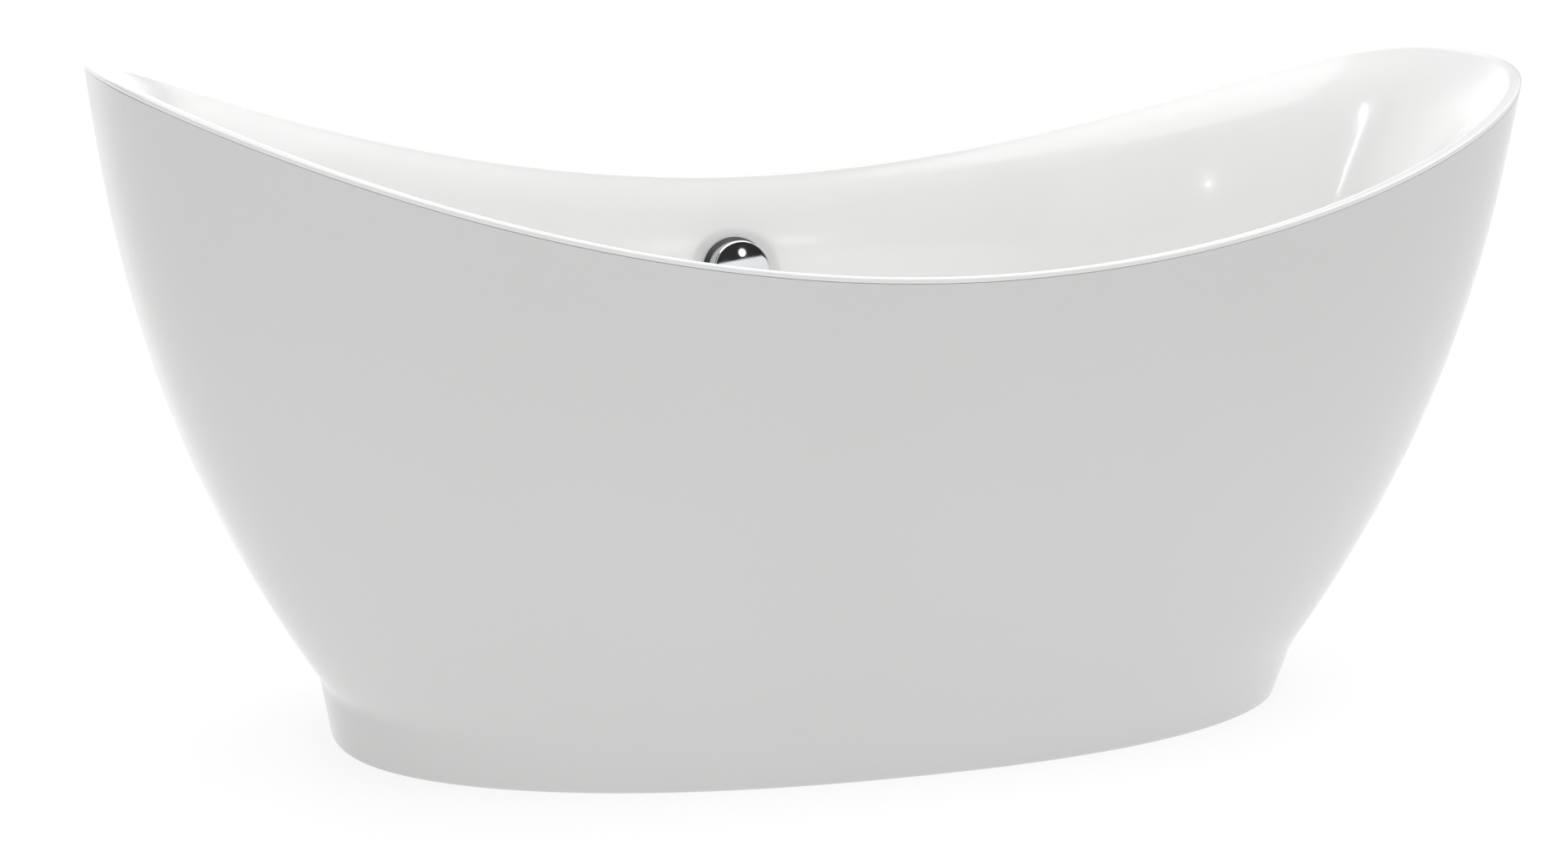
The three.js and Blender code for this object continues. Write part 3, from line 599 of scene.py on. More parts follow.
def lip_ring(angle, inset, drop):
    return outer_ring(angle, rim_height(angle) - drop, inset)


def place_overflow():
    """The overflow's frame: local +Z points into the bath, square to the wall, and +Y up along it."""
    side = np.array([math.pi / 2])
    low, high = 0.0, 1.0
    for _ in range(40):
        middle = (low + high) / 2
        if inside_ring(side, middle)[0, 2] > OVERFLOW_HEIGHT:
            low = middle
        else:
            high = middle
    place = np.identity(4)
    place[:3, 1] = (0, math.sin(OVERFLOW_TILT), math.cos(OVERFLOW_TILT))
    place[:3, 2] = (0, -math.cos(OVERFLOW_TILT), math.sin(OVERFLOW_TILT))
    place[:3, 3] = inside_ring(side, low)[0]
    return place


OVERFLOW = place_overflow()


def pressed(points, height, inner, outer):
    """Presses the wall round the overflow flat at a height, easing out to the wall as it was."""
    near_wall = 30
    local = moved(points, np.linalg.inv(OVERFLOW))
    radius = np.hypot(local[..., 0], local[..., 1])
    share = (1 - smoothstep(inner, outer, radius)) * (np.abs(local[..., 2]) < near_wall)
    local[..., 2] = lerp(local[..., 2], height, share)
    return moved(local, OVERFLOW)


def eased(rings, passes):
    """Rounds off the bends between the rings, and leaves the first and last where they are."""
    stack = np.stack(rings)
    for _ in range(passes):
        stack[1:-1] = (stack[:-2] + 2 * stack[1:-1] + stack[2:]) / 4
    return list(stack)


def basin_angles():
    """The angles of the basin's columns, which are closer together round the overflow."""
    middle = math.pi / 2
    close = 0.1
    return np.concatenate([
        np.linspace(middle - close, middle + close, 53),
        np.linspace(middle + close, middle + 2 * math.pi - close, 250)[1:-1],
    ])


def basin_front(angle):
    """Rings from the drain up the inside and over the lip."""
    upper_wall = [inside_ring(angle, share) for share in np.linspace(NEAR_RIM, 0, 24)[1:-1]]
    lip_top = [lip_ring(angle, inset, drop) for inset, drop in LIP_TOP]
    rolled = eased(upper_wall + lip_top, 14)
    at_overflow = [inside_ring(angle, share) for share in np.linspace(BELOW_OVERFLOW, NEAR_RIM, 48)]
    lower = [inside_ring(angle, share) for share in np.linspace(1, BELOW_OVERFLOW, 46)[:-1]]
    wall = [pressed(ring, -DISH_DEPTH, DISH_SEAT, DISH_EDGE) for ring in lower + at_overflow]
    drain = turned_rings(angle, DRAIN_RECESS)
    floor = [lerp(drain[-1], lower[0], share) for share in (0.25, 0.5, 0.75)]
    edge = [lip_ring(angle, inset, drop) for inset, drop in LIP_EDGE]
    return drain + floor + wall + rolled + edge


def basin_back(angle):
    """Rings down the back of the wall, from under the lip to the drain."""
    rings = [back_ring(angle, share) for share in np.linspace(BACK_START, BACK_BELOW_OVERFLOW, 36)]
    rings += [back_ring(angle, share) for share in np.linspace(BACK_BELOW_OVERFLOW, 1, 26)[1:]]
    rings = [pressed(ring, -BOSS_DEPTH, BOSS_SEAT, BOSS_EDGE) for ring in rings]
    return rings + [round_ring(angle, DRAIN_BACK_RADIUS, FLOOR_BACK)]


def basin():
    angle = basin_angles()
    front = basin_front(angle)
    points, rows, columns = ring_stack(front + basin_back(angle))
    faces = grid_faces(rows, columns, close_rows=True)
    kinds = front_and_back(faces, columns, len(front))
    made = piece("basin_tub", points, faces, "basin_acrylic", [BACKING], kinds, crease=50)
    drill(made, OVERFLOW_HOLE, -20, 1, OVERFLOW, BACKING)
    stands_for(made, "basin")


def drill(made, radius, z0, z1, matrix, cut, sides=96):
    """Cuts a round hole through a piece. The wall of the hole is of the material cut."""
    profile = [(0, z0), (radius, z0), (radius, z1), (0, z1)]
    points, faces = lathe(profile, sides, closed=False)
    tool = piece("tool", moved(points, matrix), faces, "basin_acrylic")
    tool.data.materials.clear()
    tool.data.materials.append(cut)
    boolean(made, tool, "DIFFERENCE")


def boolean(made, tool, operation):
    """Joins or cuts one piece with another, which is then removed."""
    modifier = made.modifiers.new("boolean", "BOOLEAN")
    modifier.object = tool
    modifier.operation = operation
    modifier.solver = "EXACT"
    modifier.material_mode = "TRANSFER"
    graph = bpy.context.evaluated_depsgraph_get()
    mesh = bpy.data.meshes.new_from_object(made.evaluated_get(graph))
    made.modifiers.clear()
    made.data = mesh
    bpy.data.objects.remove(tool)


basin()

# ---------- turned pieces


def rounded(corners, closed=True):
    """An outline with its corners eased. A corner is (radius, z) or (radius, z, easing)."""
    steps = 4
    most = 0.49  # share of a side that an easing can take
    count = len(corners)
    outline = []
    for index, corner in enumerate(corners):
        here = np.array(corner[:2], dtype=float)
        ease = corner[2] if len(corner) > 2 else 0
        at_end = not closed and index in (0, count - 1)
        if ease == 0 or at_end:
            outline.append(tuple(here))
            continue
        before = np.array(corners[index - 1][:2]) - here
        after = np.array(corners[(index + 1) % count][:2]) - here
        start = here + before * min(ease / np.linalg.norm(before), most)
        end = here + after * min(ease / np.linalg.norm(after), most)
        for share in np.linspace(0, 1, steps + 1):
            outline.append(tuple(lerp(lerp(start, here, share), lerp(here, end, share), share)))
    return outline


SQUARE_ON = np.identity(4)


def turned(node, corners, slot, matrix=SQUARE_ON, sides=72, closed=True):
    points, faces = lathe(rounded(corners, closed), sides, closed)
    made = piece(node + "_turned", moved(points, matrix), faces, slot, crease=30)
    stands_for(made, node)
    return made


KNOB_HEIGHT = 30
KNOB_DOME = 580  # twice the radius of curvature of its face


def face_height(radius):
    """Height of the knob's domed face over the wall."""
    return KNOB_HEIGHT - radius**2 / KNOB_DOME


def knob():
    """A chrome drum on a black ring, which flares out over the dish; the ring's black is painted shade,
    put where the gap under the drum lies in shadow. The face is slightly domed.
    """
    ring_top = 7.7
    side = [
        (42.3, -0.5, 0.5), (45, -0.5, 0.6), (45, 1.4, 1), (41, 7.2, 0.6), (40.2, ring_top, 0.2),
        (40.4, 8.4, 0.2), (38.7, 25.6, 1.0), (37.2, 27.4, 1.0),
    ]
    face = [(radius, face_height(radius)) for radius in (35.2, *range(33, -1, -3))]
    inside = [(0, 27.5), (24, 26.5, 1), (34.5, 25.5, 1), (36, 24, 1), (37.6, 7, 1)]
    points, faces = lathe(rounded(side + face + inside), 128)
    heights = [sum(points[corner][2] for corner in face) / 4 for face in faces]
    # Faces below the ring's top take black plastic: painted shade for the shadowed gap under the drum.
    kinds = [1 if height < ring_top + 0.1 else 0 for height in heights]
    points = moved(points, OVERFLOW)
    ring = [SLOTS["black_plastic"]]
    made = piece("overflow_knob_drum", points, faces, "chrome", ring, kinds, crease=24)
    stands_for(made, "overflow_knob")


knob()

# ---------- shapes for the small pieces


def shifted(x, y, z=0.0):
    matrix = np.identity(4)
    matrix[:3, 3] = (x, y, z)
    return matrix


def along_x(x, y, z):
    """A frame at a point, with local +Z along world +X."""
    matrix = shifted(x, y, z)
    matrix[:3, :3] = np.array([(0, 0, 1), (0, 1, 0), (-1, 0, 0)])
    return matrix


def stacked(node, rings, slot, matrix=SQUARE_ON, closed=True, crease=30):
    """A piece made of rings of points, which stands for a CAD node."""
    points, rows, columns = ring_stack(rings)
    faces = grid_faces(rows, columns, closed)
    made = piece(node + "_made", moved(points, matrix), faces, slot, crease=crease)
    stands_for(made, node)
    return made


def block(x0, x1, y0, y1, z0, z1, slot, ease, matrix=SQUARE_ON):
    """A box with eased edges."""
    corners = [(x, y, z) for x in (x0, x1) for y in (y0, y1) for z in (z0, z1)]
    faces = [(0, 1, 3, 2), (4, 6, 7, 5), (0, 4, 5, 1), (2, 3, 7, 6), (0, 2, 6, 4), (1, 5, 7, 3)]
    made = piece("block", moved(corners, matrix), faces, slot)
    ease_edges(made.data, ease, 30)
    return made


def ease_edges(mesh, width, crease):
    """Bevels the edges that turn by more than crease degrees."""
    limit = math.radians(crease)
    work = bmesh.new()
    work.from_mesh(mesh)
    sharp = [edge for edge in work.edges if edge.is_manifold and edge.calc_face_angle(0) > limit]
    bmesh.ops.bevel(
        work, geom=sharp, offset=width * MM, segments=2, profile=0.7, affect="EDGES", clamp_overlap=True
    )
    work.to_mesh(mesh)
    work.free()
    tidy(mesh, 40)


def refined(node, slot, width, crease=40):
    """The CAD node's shape with its sharp edges eased, for machined and moulded parts."""
    source = frame["nodes"][node].data
    points = np.array([vertex.co for vertex in source.vertices]) / MM
    made = piece(node + "_eased", points, [tuple(face.vertices) for face in source.polygons], slot)
    work = bmesh.new()
    work.from_mesh(made.data)
    bmesh.ops.dissolve_limit(work, angle_limit=math.radians(1), verts=work.verts, edges=work.edges)
    work.to_mesh(made.data)
    work.free()
    ease_edges(made.data, width, crease)
    stands_for(made, node)


def hexagon(angle, flats):
    """Reach of a hexagon's outline at each angle, with a corner at angle 0."""
    sixth = math.pi / 3
    return flats / 2 / np.cos(angle % sixth - sixth / 2)


def hex_rings(angle, flats, z0, z1):
    """Rings up a hexagon whose corners are turned off at both ends."""
    reach = hexagon(angle, flats)
    turned_off = np.minimum(reach, flats / 2 * 0.97)
    drop = (reach - turned_off) * 0.6
    return [
        round_ring(angle, turned_off, z0), round_ring(angle, reach, z0 + drop),
        round_ring(angle, reach, z1 - drop), round_ring(angle, turned_off, z1),
    ]


def thread_rings(angle, radius, depth, pitch, z0, z1):
    """Rings of a screw thread, which runs out at both ends."""
    rings = []
    for z in np.arange(z0, z1, pitch / 5):
        phase = (z / pitch - angle / (2 * math.pi)) % 1
        runout = np.clip(min(z - z0, z1 - z) / pitch, 0, 1)
        rings.append(round_ring(angle, radius - depth * runout * np.abs(2 * phase - 1), z))
    return rings


def nut(node, flats, bore, z0, z1, slot, matrix=SQUARE_ON):
    lead_in = 0.7
    angle = circle_angles(48)
    inside = [(bore + lead_in, z1), (bore, z1 - lead_in), (bore, z0 + lead_in), (bore + lead_in, z0)]
    stacked(node, hex_rings(angle, flats, z0, z1) + turned_rings(angle, inside), slot, matrix)


# ---------- levelling feet

FEET = [(-420, -150), (420, -150), (420, 150), (-420, 150)]
RESIN_BED = 0.5
BOARD_TOP = FLOOR_BACK - RESIN_BED
BOARD_BOTTOM = BOARD_TOP - BOARD_THICKNESS
RAIL_TOP = BOARD_BOTTOM - GAP
RAIL_HEIGHT = 30
RAIL_WALL = 2
RAIL_BOTTOM = RAIL_TOP - RAIL_HEIGHT
STUD_RADIUS = 5.85
STUD_PITCH = 1.75
STUD_CORE = 5.1
WELD_NUT_HEIGHT = 10
LOCK_NUT_HEIGHT = 7
NUT_FLATS = 19


def foot(number, x, y):
    place = shifted(x, y)
    socket = STUD_RADIUS + 0.5
    pad = [
        (0, 0), (23, 0, 0.5), (24, 0, 0.8), (25, 1, 1), (25, 4, 1.5), (17, 8, 3), (12, 11.5, 2),
        (socket + 4, 14, 1), (socket, 14, 0.4), (socket, 5.7), (0, 5.7),
    ]
    turned(f"foot_{number}_pad", pad, "black_plastic", place, closed=False)
    angle = circle_angles(36)
    top = RAIL_TOP - 4
    tip = [(0, 6), (3.6, 6), (STUD_CORE, 7), (STUD_CORE, 17.9)]
    end = [(STUD_CORE, top - 0.9), (4.4, top), (0, top)]
    rings = turned_rings(angle, tip)
    rings += hex_rings(angle, 14, 18, 26)
    rings += thread_rings(angle, STUD_RADIUS, 0.75, STUD_PITCH, 26.1, top - 1)
    rings += turned_rings(angle, end)
    stacked(f"foot_{number}_stud", rings, "zinc_steel", place, closed=False)
    weld_top = RAIL_BOTTOM - GAP
    weld_low = weld_top - WELD_NUT_HEIGHT
    lock_top = weld_low - GAP
    lock_low = lock_top - LOCK_NUT_HEIGHT
    nut(f"foot_{number}_weld_nut", NUT_FLATS, socket, weld_low, weld_top, "frame_steel", place)
    nut(f"foot_{number}_lock_nut", NUT_FLATS, socket, lock_low, lock_top, "zinc_steel", place)


for number, (x, y) in enumerate(FEET, start=1):
    foot(number, x, y)

# ---------- board and frame

refined("base_board", "plywood", 1.2)
for name in ("frame_rail_front", "frame_rail_rear", "frame_cross_left", "frame_cross_right"):
    refined(name, "frame_steel", 0.9)


def wood_screw(node, x, y):
    """A countersunk screw, head down in the rail and thread in the board, with a cross recess."""
    angle = circle_angles(24)
    seat = RAIL_TOP - RAIL_WALL - GAP
    head = [
        (0, seat - 2.5), (3.6, seat - 2.5), (4.4, seat - 2.1), (4.5, seat - 1.6), (2.3, seat),
        (1.9, seat + 0.2),
    ]
    point = [(1.5, seat + 12.2), (0, seat + 15)]
    rings = turned_rings(angle, head)
    rings += thread_rings(angle, 2.2, 0.6, 1.8, seat + 0.4, seat + 12)
    rings += turned_rings(angle, point)
    made = stacked(node, rings, "zinc_steel", shifted(x, y), closed=False)
    cross_recess(made, 1.7, 0.45, seat - 3, seat - 1.2, shifted(x, y))


def cross_recess(made, reach, half, z0, z1, matrix):
    """Cuts the driver's cross into a screw's head, as two slots."""
    for wide, deep in ((reach, half), (half, reach)):
        boolean(made, block(-wide, wide, -deep, deep, z0, z1, "zinc_steel", 0.1, matrix), "DIFFERENCE")


SCREWS = [(-180, -150), (180, -150), (180, 150), (-180, 150)]
for number, (x, y) in enumerate(SCREWS, start=1):
    wood_screw(f"board_screw_{number}", x, y)

# ---------- drain and plug

RECESS_DEPTH = 4
FLANGE_SEAL = 1.5
FLANGE_THICKNESS = 3
PLUG_SEAL = 1.6
BODY_SEAL = 2
RECESS_Z = FLOOR_Z - RECESS_DEPTH
SEAL_TOP = RECESS_Z + GAP + FLANGE_SEAL
FLANGE_TOP = SEAL_TOP + GAP + FLANGE_THICKNESS
CAP_Z = FLANGE_TOP + GAP + PLUG_SEAL + GAP
SPOKES = 3
DRAIN_BODY_Z = 46  # its lower end


def drain_flange():
    """A flanged sleeve, with a spoked hub that guides the plug's stem."""
    sleeve = [
        (22, 112, 0.4), (24.5, 112, 0.6), (24.5, SEAL_TOP + GAP, 0.4), (36, SEAL_TOP + GAP, 0.5),
        (36, FLANGE_TOP - 1.5, 1.2), (33.6, FLANGE_TOP, 1.4), (26, FLANGE_TOP, 1.6),
        (22, FLANGE_TOP - 3, 1.2),
    ]
    made = turned("drain_flange", sleeve, "chrome", sides=112)
    outline = [(0, 140), (9, 140, 0.6), (9, 146, 0.6), (0, 146)]
    hub = piece("part", *lathe(rounded(outline, closed=False), 48, closed=False), "chrome")
    for index in range(SPOKES):
        turn = (index + 0.25) * 2 * math.pi / SPOKES
        spoke = np.identity(4)
        spoke[:2, :2] = [(math.cos(turn), -math.sin(turn)), (math.sin(turn), math.cos(turn))]
        boolean(hub, block(2, 22.6, -1.5, 1.5, 140.2, 145.8, "chrome", 0.4, spoke), "UNION")
    boolean(made, hub, "UNION")
    drill(made, 4.8, 138, 148, SQUARE_ON, SLOTS["chrome"], sides=48)
    tidy(made.data, 35)


def plug_cap():
    cap = [
        (0, CAP_Z), (29, CAP_Z, 0.6), (31, CAP_Z + 1, 0.8), (31, CAP_Z + 2.4, 1), (29, CAP_Z + 4, 1.6),
        (20, CAP_Z + 5.4, 4), (10, CAP_Z + 6.1, 4), (0, CAP_Z + 6.3),
    ]
    turned("plug_cap", cap, "chrome", sides=112, closed=False)
    low = FLANGE_TOP + GAP
    top = low + PLUG_SEAL
    seal = [(9.5, low, 0.3), (28.4, low, 0.5), (29, low + 0.8, 0.4), (28.6, top, 0.4), (9.5, top, 0.3)]
    turned("plug_seal", seal, "rubber", sides=96)


def plug_stem():
    """Rounded where the lever lifts it, threaded for its nut, plain above and flared under the cap."""
    angle = circle_angles(32)
    tip = [(0, 98), (1.4, 98.1), (2.6, 98.9), (3.3, 100.2), (3.4, 101)]
    top = [(4, 134.3), (4, 155), (4.6, 155.6), (9, CAP_Z - 3.5), (9, CAP_Z - GAP), (0, CAP_Z - GAP)]
    rings = turned_rings(angle, tip)
    rings += thread_rings(angle, 4, 0.55, 1.25, 101.2, 134)
    rings += turned_rings(angle, top)
    stacked("plug_stem", rings, "brass", closed=False)


def tailpiece():
    """The tube that leads out of the drain body, and the ribbed nut that holds it."""
    tube = [(15.4, 6, 0.4), (16.6, 6, 0.5), (16.6, 8, 0.4), (17, 9, 0.4), (17, 56, 0.5), (15.4, 56, 0.4)]
    turned("tailpiece", tube, "brass", sides=80)
    angle = circle_angles(120)
    under = DRAIN_BODY_Z - GAP
    ribs = 0.35 * (1 + np.cos(angle * 20))
    ribbed_from = 26.7
    outside = [
        (25.2, under - 3), (26.6, under - 2.6), (27.2, under - 1.6), (27.3, under), (27.3, under + 9.4),
        (26.8, under + 10.6), (26, under + 11),
    ]
    inside = [
        (22.9, under + 11), (22.5, under + 10.6), (22.5, under), (17.9, under), (17.5, under - 0.5),
        (17.5, under - 2.6), (17.9, under - 3),
    ]
    rings = [round_ring(angle, radius + ribs * (radius > ribbed_from), z) for radius, z in outside]
    stacked("tailpiece_slip_nut", rings + turned_rings(angle, inside), "chrome")


def washer(node, inner, outer, z0, z1, matrix=SQUARE_ON):
    ease = 0.4
    section = [(inner, z0, ease), (outer, z0, ease), (outer, z1, ease), (inner, z1, ease)]
    turned(node, section, "rubber", matrix, sides=96)


drain_flange()
plug_cap()
plug_stem()
nut("plug_stem_nut", 12, 4.3, 113, 118, "brass")
tailpiece()
washer("drain_flange_seal", 28, 36, RECESS_Z + GAP, SEAL_TOP)
washer("drain_body_seal", 28, 40, FLOOR_BACK - GAP - BODY_SEAL, FLOOR_BACK - GAP)
refined("drain_body", "black_plastic", 0.6)
refined("lift_lever", "brass", 0.3)
refined("lever_arm", "black_plastic", 0.4)
refined("lever_seal", "rubber", 0.25)

# ---------- overflow

washer("overflow_gasket", 27, 39, -16.3, -14.3, OVERFLOW)
refined("overflow_body", "black_plastic", 0.6)
refined("overflow_clamp_flange", "chrome", 0.5)
refined("knob_spindle", "black_plastic", 0.4)

CLAMP_FLANGE = 2.6


def overflow_screw(side, x):
    """A pan-head screw that pulls the clamp flange and the overflow's body together."""
    angle = circle_angles(24)
    place = OVERFLOW @ shifted(x, 0)
    seat = -DISH_DEPTH + GAP + CLAMP_FLANGE + GAP
    tip = [(0, -31), (1.6, -30.4)]
    head = [
        (2, seat - 3.8), (2, seat), (3.8, seat), (4, seat + 0.2), (4, seat + 0.9), (3.4, seat + 1.7),
        (2.4, seat + 2.15), (0, seat + 2.2),
    ]
    rings = turned_rings(angle, tip)
    rings += thread_rings(angle, 2, 0.45, 0.9, -30.2, seat - 4)
    rings += turned_rings(angle, head)
    made = stacked(f"overflow_screw_{side}", rings, "zinc_steel", place, closed=False)
    cross_recess(made, 1.8, 0.45, seat + 0.9, seat + 3, place)


overflow_screw("left", -21)
overflow_screw("right", 21)

# ---------- pipe and cable


def curve_through(route, step):
    """Evenly spaced points of the smooth curve through a route, with the way and distance along."""
    route = np.array(route, dtype=float)
    fine = np.array([catmull_rom(route, share) for share in np.linspace(0, 1, 1500)])
    run = np.concatenate([[0], np.cumsum(np.linalg.norm(np.diff(fine, axis=0), axis=1))])
    count = max(int(run[-1] / step), 2)
    distance = np.linspace(0, run[-1], count)
    points = np.stack([np.interp(distance, run, fine[:, axis]) for axis in range(3)], axis=-1)
    ways = np.gradient(points, axis=0)
    return points, ways / np.linalg.norm(ways, axis=1, keepdims=True), distance


def hose(node, route, bore, outer_at, sides, step, slot):
    """A hose along a route. outer_at(distance along, whole length) gives its outside radius."""
    points, ways, distance = curve_through(route, step)
    side = np.cross(ways[0], (1, 0, 0))
    if np.linalg.norm(side) < 0.1:
        side = np.cross(ways[0], (0, 0, 1))
    angle = circle_angles(sides)
    outside, inside = [], []
    for point, way, along in zip(points, ways, distance):
        side = side - way * np.dot(side, way)
        side /= np.linalg.norm(side)
        over = np.cross(way, side)
        circle = np.outer(np.cos(angle), side) + np.outer(np.sin(angle), over)
        outside.append(point + outer_at(along, distance[-1]) * circle)
        inside.append(point + bore * circle)
    stacked(node, outside + inside[::-1], slot, crease=50)


def by_overflow(x, y, z):
    """A point of the overflow's frame, in the bath's."""
    return tuple(moved([(x, y, z)], OVERFLOW)[0])


def corrugated(along, length):
    """Outside radius of the pipe: evenly spaced ribs, and plain cuffs over the stubs."""
    share = smoothstep(CUFF, CUFF + RIB_PITCH, min(along, length - along))
    return PIPE_RADIUS - share * RIB_DEPTH / 2 * (1 - math.cos(along / RIB_PITCH * 2 * math.pi))


PIPE_RADIUS = 16
PIPE_BORE = 13.9
RIB_PITCH = 6
RIB_DEPTH = 1.2
CUFF = 30
BRANCH_END = 64
BRANCH_Z = 78
OUTLET = (-12, -60, -29.3)  # the end of the overflow's stub, in its own frame
pipe_route = [
    (0, BRANCH_END - 16, BRANCH_Z), (0, 70, BRANCH_Z), (0, 100, BRANCH_Z), (-2, 190, 80), (-6, 245, 94),
    (-9, 284, 136), (-12, 308, 200), (-12, 335, 285), (-12, 349, 345), by_overflow(-12, -86, -29.3),
    by_overflow(-12, -68, -29.3), by_overflow(-12, -44, -29.3),
]
hose("overflow_pipe", pipe_route, PIPE_BORE, corrugated, 32, 1.1, "white_plastic")

SHEATH_RADIUS = 2.5
SHEATH_BORE = 1.3
SHEATH_START = 46
WIRE_X = 42.5
LEVER_Z = 100
LEVER_ARM = 38
LEVER_SWING = math.radians(29)
CABLE_X, CABLE_TOP, CABLE_DEPTH = 11.25, -38, -31  # the sheath's upper end, in the overflow's frame
WIRE_Z = LEVER_Z - LEVER_ARM * math.cos(LEVER_SWING / 4)
sheath_route = [
    (WIRE_X, SHEATH_START + GAP, WIRE_Z), (WIRE_X, 70, WIRE_Z), (WIRE_X, 92, WIRE_Z), (38, 150, 62),
    (30, 215, 66), (24, 258, 92), (19, 292, 140), (16, 316, 205), (14, 338, 290),
    (CABLE_X + 1, 349, 342), by_overflow(CABLE_X, -74, CABLE_DEPTH),
    by_overflow(CABLE_X, -56, CABLE_DEPTH), by_overflow(CABLE_X, CABLE_TOP - GAP, CABLE_DEPTH),
]
hose("cable_sheath", sheath_route, SHEATH_BORE, lambda *_: SHEATH_RADIUS, 14, 3, "cable_plastic")
refined("cable_wire_lower", "zinc_steel", 0.15, crease=50)
refined("cable_wire_upper", "zinc_steel", 0.15, crease=50)


def pipe_clamp(node, matrix):
    """A worm-drive clamp: a band, the housing over its overlap, and the hexagon-headed screw."""
    band = [(16.3, -4, 0.2), (17.3, -4, 0.3), (17.3, 4, 0.3), (16.3, 4, 0.2)]
    shank = [(0, -5.8), (2.2, -5.8), (2.6, -5.2), (2.6, 4.9)]
    head_top = 6.6
    made = turned(node, band, "zinc_steel", matrix, sides=96)
    housing = block(-5, 5, 16.9, 22.4, -4.4, 4.4, "zinc_steel", 0.8, matrix)
    boolean(made, housing, "UNION")
    angle = circle_angles(48)
    rings = turned_rings(angle, shank)
    rings += hex_rings(angle, 5, 4.95, head_top)[1:] + [round_ring(angle, 0, head_top)]
    points, rows, columns = ring_stack(rings)
    points = moved(points, matrix @ along_x(0, 19.8, 0))
    screw = piece("screw", points, grid_faces(rows, columns, False), "zinc_steel")
    boolean(made, screw, "UNION")
    tidy(made.data, 35)


def clamp_frame(base, x, y, z, quarter):
    """Local +Z along the base frame's -Y, with the housing turned a quarter round where asked."""
    turn = np.identity(4)
    turn[:3, :3] = np.array([(1, 0, 0), (0, 0, -1), (0, 1, 0)])
    roll = np.identity(4)
    if quarter:
        roll[:2, :2] = [(0, -1), (1, 0)]
    return base @ shifted(x, y, z) @ turn @ roll


CLAMP_IN = 8  # from the end of a stub to the middle of its clamp
lower_place = clamp_frame(SQUARE_ON, 0, BRANCH_END - CLAMP_IN, BRANCH_Z, quarter=False)
upper_place = clamp_frame(OVERFLOW, OUTLET[0], OUTLET[1] + CLAMP_IN, OUTLET[2], quarter=True)
pipe_clamp("pipe_clamp_lower", lower_place)
pipe_clamp("pipe_clamp_upper", upper_place)

# ---------- finishes of the CAD nodes

for subpart in frame["record"]["subparts"]:
    for slot in frame["nodes"][subpart["node"]].material_slots:
        slot.material = SLOTS[subpart["material_slot"]]

# ---------- studio


def add_floor():
    """A pale floor that glows a little, so that it shades off into the white round it."""
    half = 30  # metres
    corners = [(-half, -half, 0), (half, -half, 0), (half, half, 0), (-half, half, 0)]
    mesh = bpy.data.meshes.new("floor")
    mesh.from_pydata(corners, [], [(0, 1, 2, 3)])
    nodes = Nodes("floor_white")
    nodes.colour(nodes.mix(nodes.noise(0.5), (0.3, 0.3, 0.3), (0.31, 0.31, 0.31)))
    nodes.set(Emission_Color=(1, 1, 1, 1), Emission_Strength=0.76)
    mesh.materials.append(nodes.set(Roughness=0.9, Specular_IOR_Level=0.1))
    made = bpy.data.objects.new("floor", mesh)
    scene.collection.objects.link(made)


OPENING_CENTRE = (0.308, -0.8, 0.515)  # the way to it
OPENING_SILL = (-0.15, 0.3, 0.942)  # square to the opening's lower edge
# The strength of the opening and of the panel below it, as multiples of the wall's.
OPENING_DARK = 0.07
PANEL_BRIGHT = 2.4
END_PANEL = (0.752, 0.308, 0.583)  # the way to a soft panel beyond the bath's right end


def studio_walls(graph):
    """A bright backdrop low down behind the bath, dim sides, and a front that brightens upwards."""
    _, depth, height = graph.axes()
    ceiling = graph.spread(height, 0.29, 0.5, 0.0, 0.9, smooth=True)
    front_to_side = graph.spread(depth, 1.45, 0.5, -1, 0.15)
    backdrop = graph.math(
        "MULTIPLY",
        graph.spread(depth, 0, 1.1, 0.72, 0.92, smooth=True),
        graph.spread(height, 1, 0, 0.35, 0.55, smooth=True),
    )
    return graph.math("ADD", graph.math("MULTIPLY", ceiling, front_to_side), backdrop)


def studio_opening(graph):
    """What the wall's strength is multiplied by: a dark opening high in front, over a bright panel."""
    in_front = graph.spread(graph.towards(OPENING_CENTRE), 0, 1, 0.87, 0.91, smooth=True)
    above_sill = graph.towards(OPENING_SILL)
    panel_or_dark = graph.spread(above_sill, PANEL_BRIGHT, OPENING_DARK, 0.004, 0.02)
    change = graph.math("MULTIPLY", in_front, graph.math("SUBTRACT", panel_or_dark, 1))
    return graph.math("ADD", change, 1)


def add_sky():
    """The studio round the bath, which lights it and is mirrored in it. Seen directly it is white."""
    world = bpy.data.worlds.new("studio")
    scene.world = world
    world.use_nodes = True
    graph = Graph(world.node_tree, "Generated")
    strength = graph.math("MULTIPLY", studio_walls(graph), studio_opening(graph))
    end_panel = graph.spread(graph.towards(END_PANEL), 0, 0.7, 0.86, 0.97, smooth=True)
    strength = graph.math("ADD", strength, end_panel)
    seen = graph.add("ShaderNodeLightPath").outputs["Is Camera Ray"]
    strength = graph.math("MAXIMUM", strength, seen)
    background = world.node_tree.nodes["Background"]
    graph.link(strength, background.inputs["Strength"])
    background.inputs["Color"].default_value = (1, 1, 1, 1)


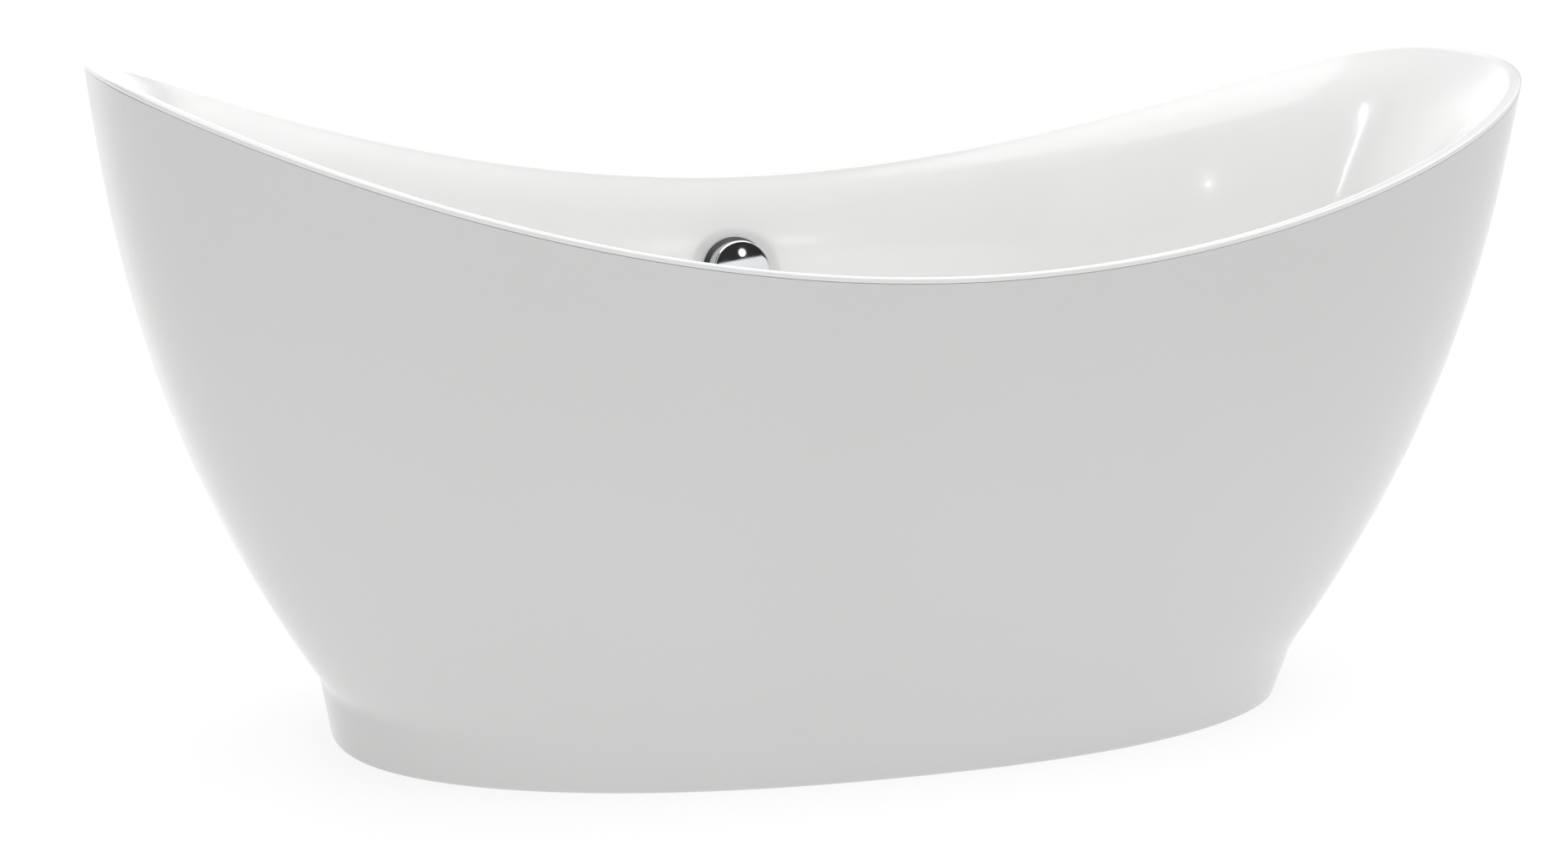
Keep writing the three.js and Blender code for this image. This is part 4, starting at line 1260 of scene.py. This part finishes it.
def add_light(name, place, aim, size, power, shape="RECTANGLE", glossy=True, along=Vector((0, 0, 1))):
    """An area light. The second of its sizes lies along the direction given, as nearly as it can."""
    data = bpy.data.lights.new(name, "AREA")
    data.shape = shape
    data.size = size[0]
    data.size_y = size[1]
    data.energy = power
    light = bpy.data.objects.new(name, data)
    light.visible_glossy = glossy
    back = (Vector(place) - Vector(aim)).normalized()
    side = along.cross(back).normalized()
    turn = Matrix((side, back.cross(side), back)).transposed()
    light.matrix_world = Matrix.Translation(place) @ turn.to_4x4()
    scene.collection.objects.link(light)


def add_lamp(name, aim, direction, distance, size, power):
    """A round light that faces its aim from a direction."""
    add_light(name, aim + Vector(direction) * distance, aim, (size, size), power, "DISK")


# Points of the basin's wall and of the knob that mirror a light.
END_WALL = Vector((0.747, 0.084, 0.649))
END_WALL_NEAR = Vector((0.614, 0.232, 0.585))
KNOB_FACE = Vector(moved([(0, 22.7, 29)], OVERFLOW)[0] * MM)
STRIP_ALONG = Vector((0.586, 0.017, 0.81))
# Metres from such a point to its light.
FAR = 3.1
NEAR = 3.0


def add_ceiling():
    """Light straight down from all over the ceiling, which leaves no edge to a shadow."""
    data = bpy.data.lights.new("ceiling", "SUN")
    data.angle = math.radians(75)
    data.energy = 1.7
    scene.collection.objects.link(bpy.data.objects.new("ceiling", data))


def add_lights():
    add_ceiling()
    add_light("softbox_above", (0.1, 0.1, 2.6), (0, 0, 0.2), (1.5, 0.7), 13, glossy=False)
    strip = END_WALL + Vector((-0.647, 0.622, 0.441)) * FAR
    add_light("strip_behind", strip, END_WALL, (0.07, 0.8), 2.2, along=STRIP_ALONG)
    add_lamp("lamp_behind", END_WALL, (-0.592, 0.592, 0.547), FAR, 0.2, 1)
    add_lamp("knob_light", KNOB_FACE, (0.331, -0.855, 0.399), NEAR, 0.2, 0.3)
    add_lamp("speck_light", END_WALL_NEAR, (-0.627, -0.544, 0.558), NEAR, 0.05, 1)


add_floor()
add_sky()
add_lights()
scene.view_settings.view_transform = "Standard"
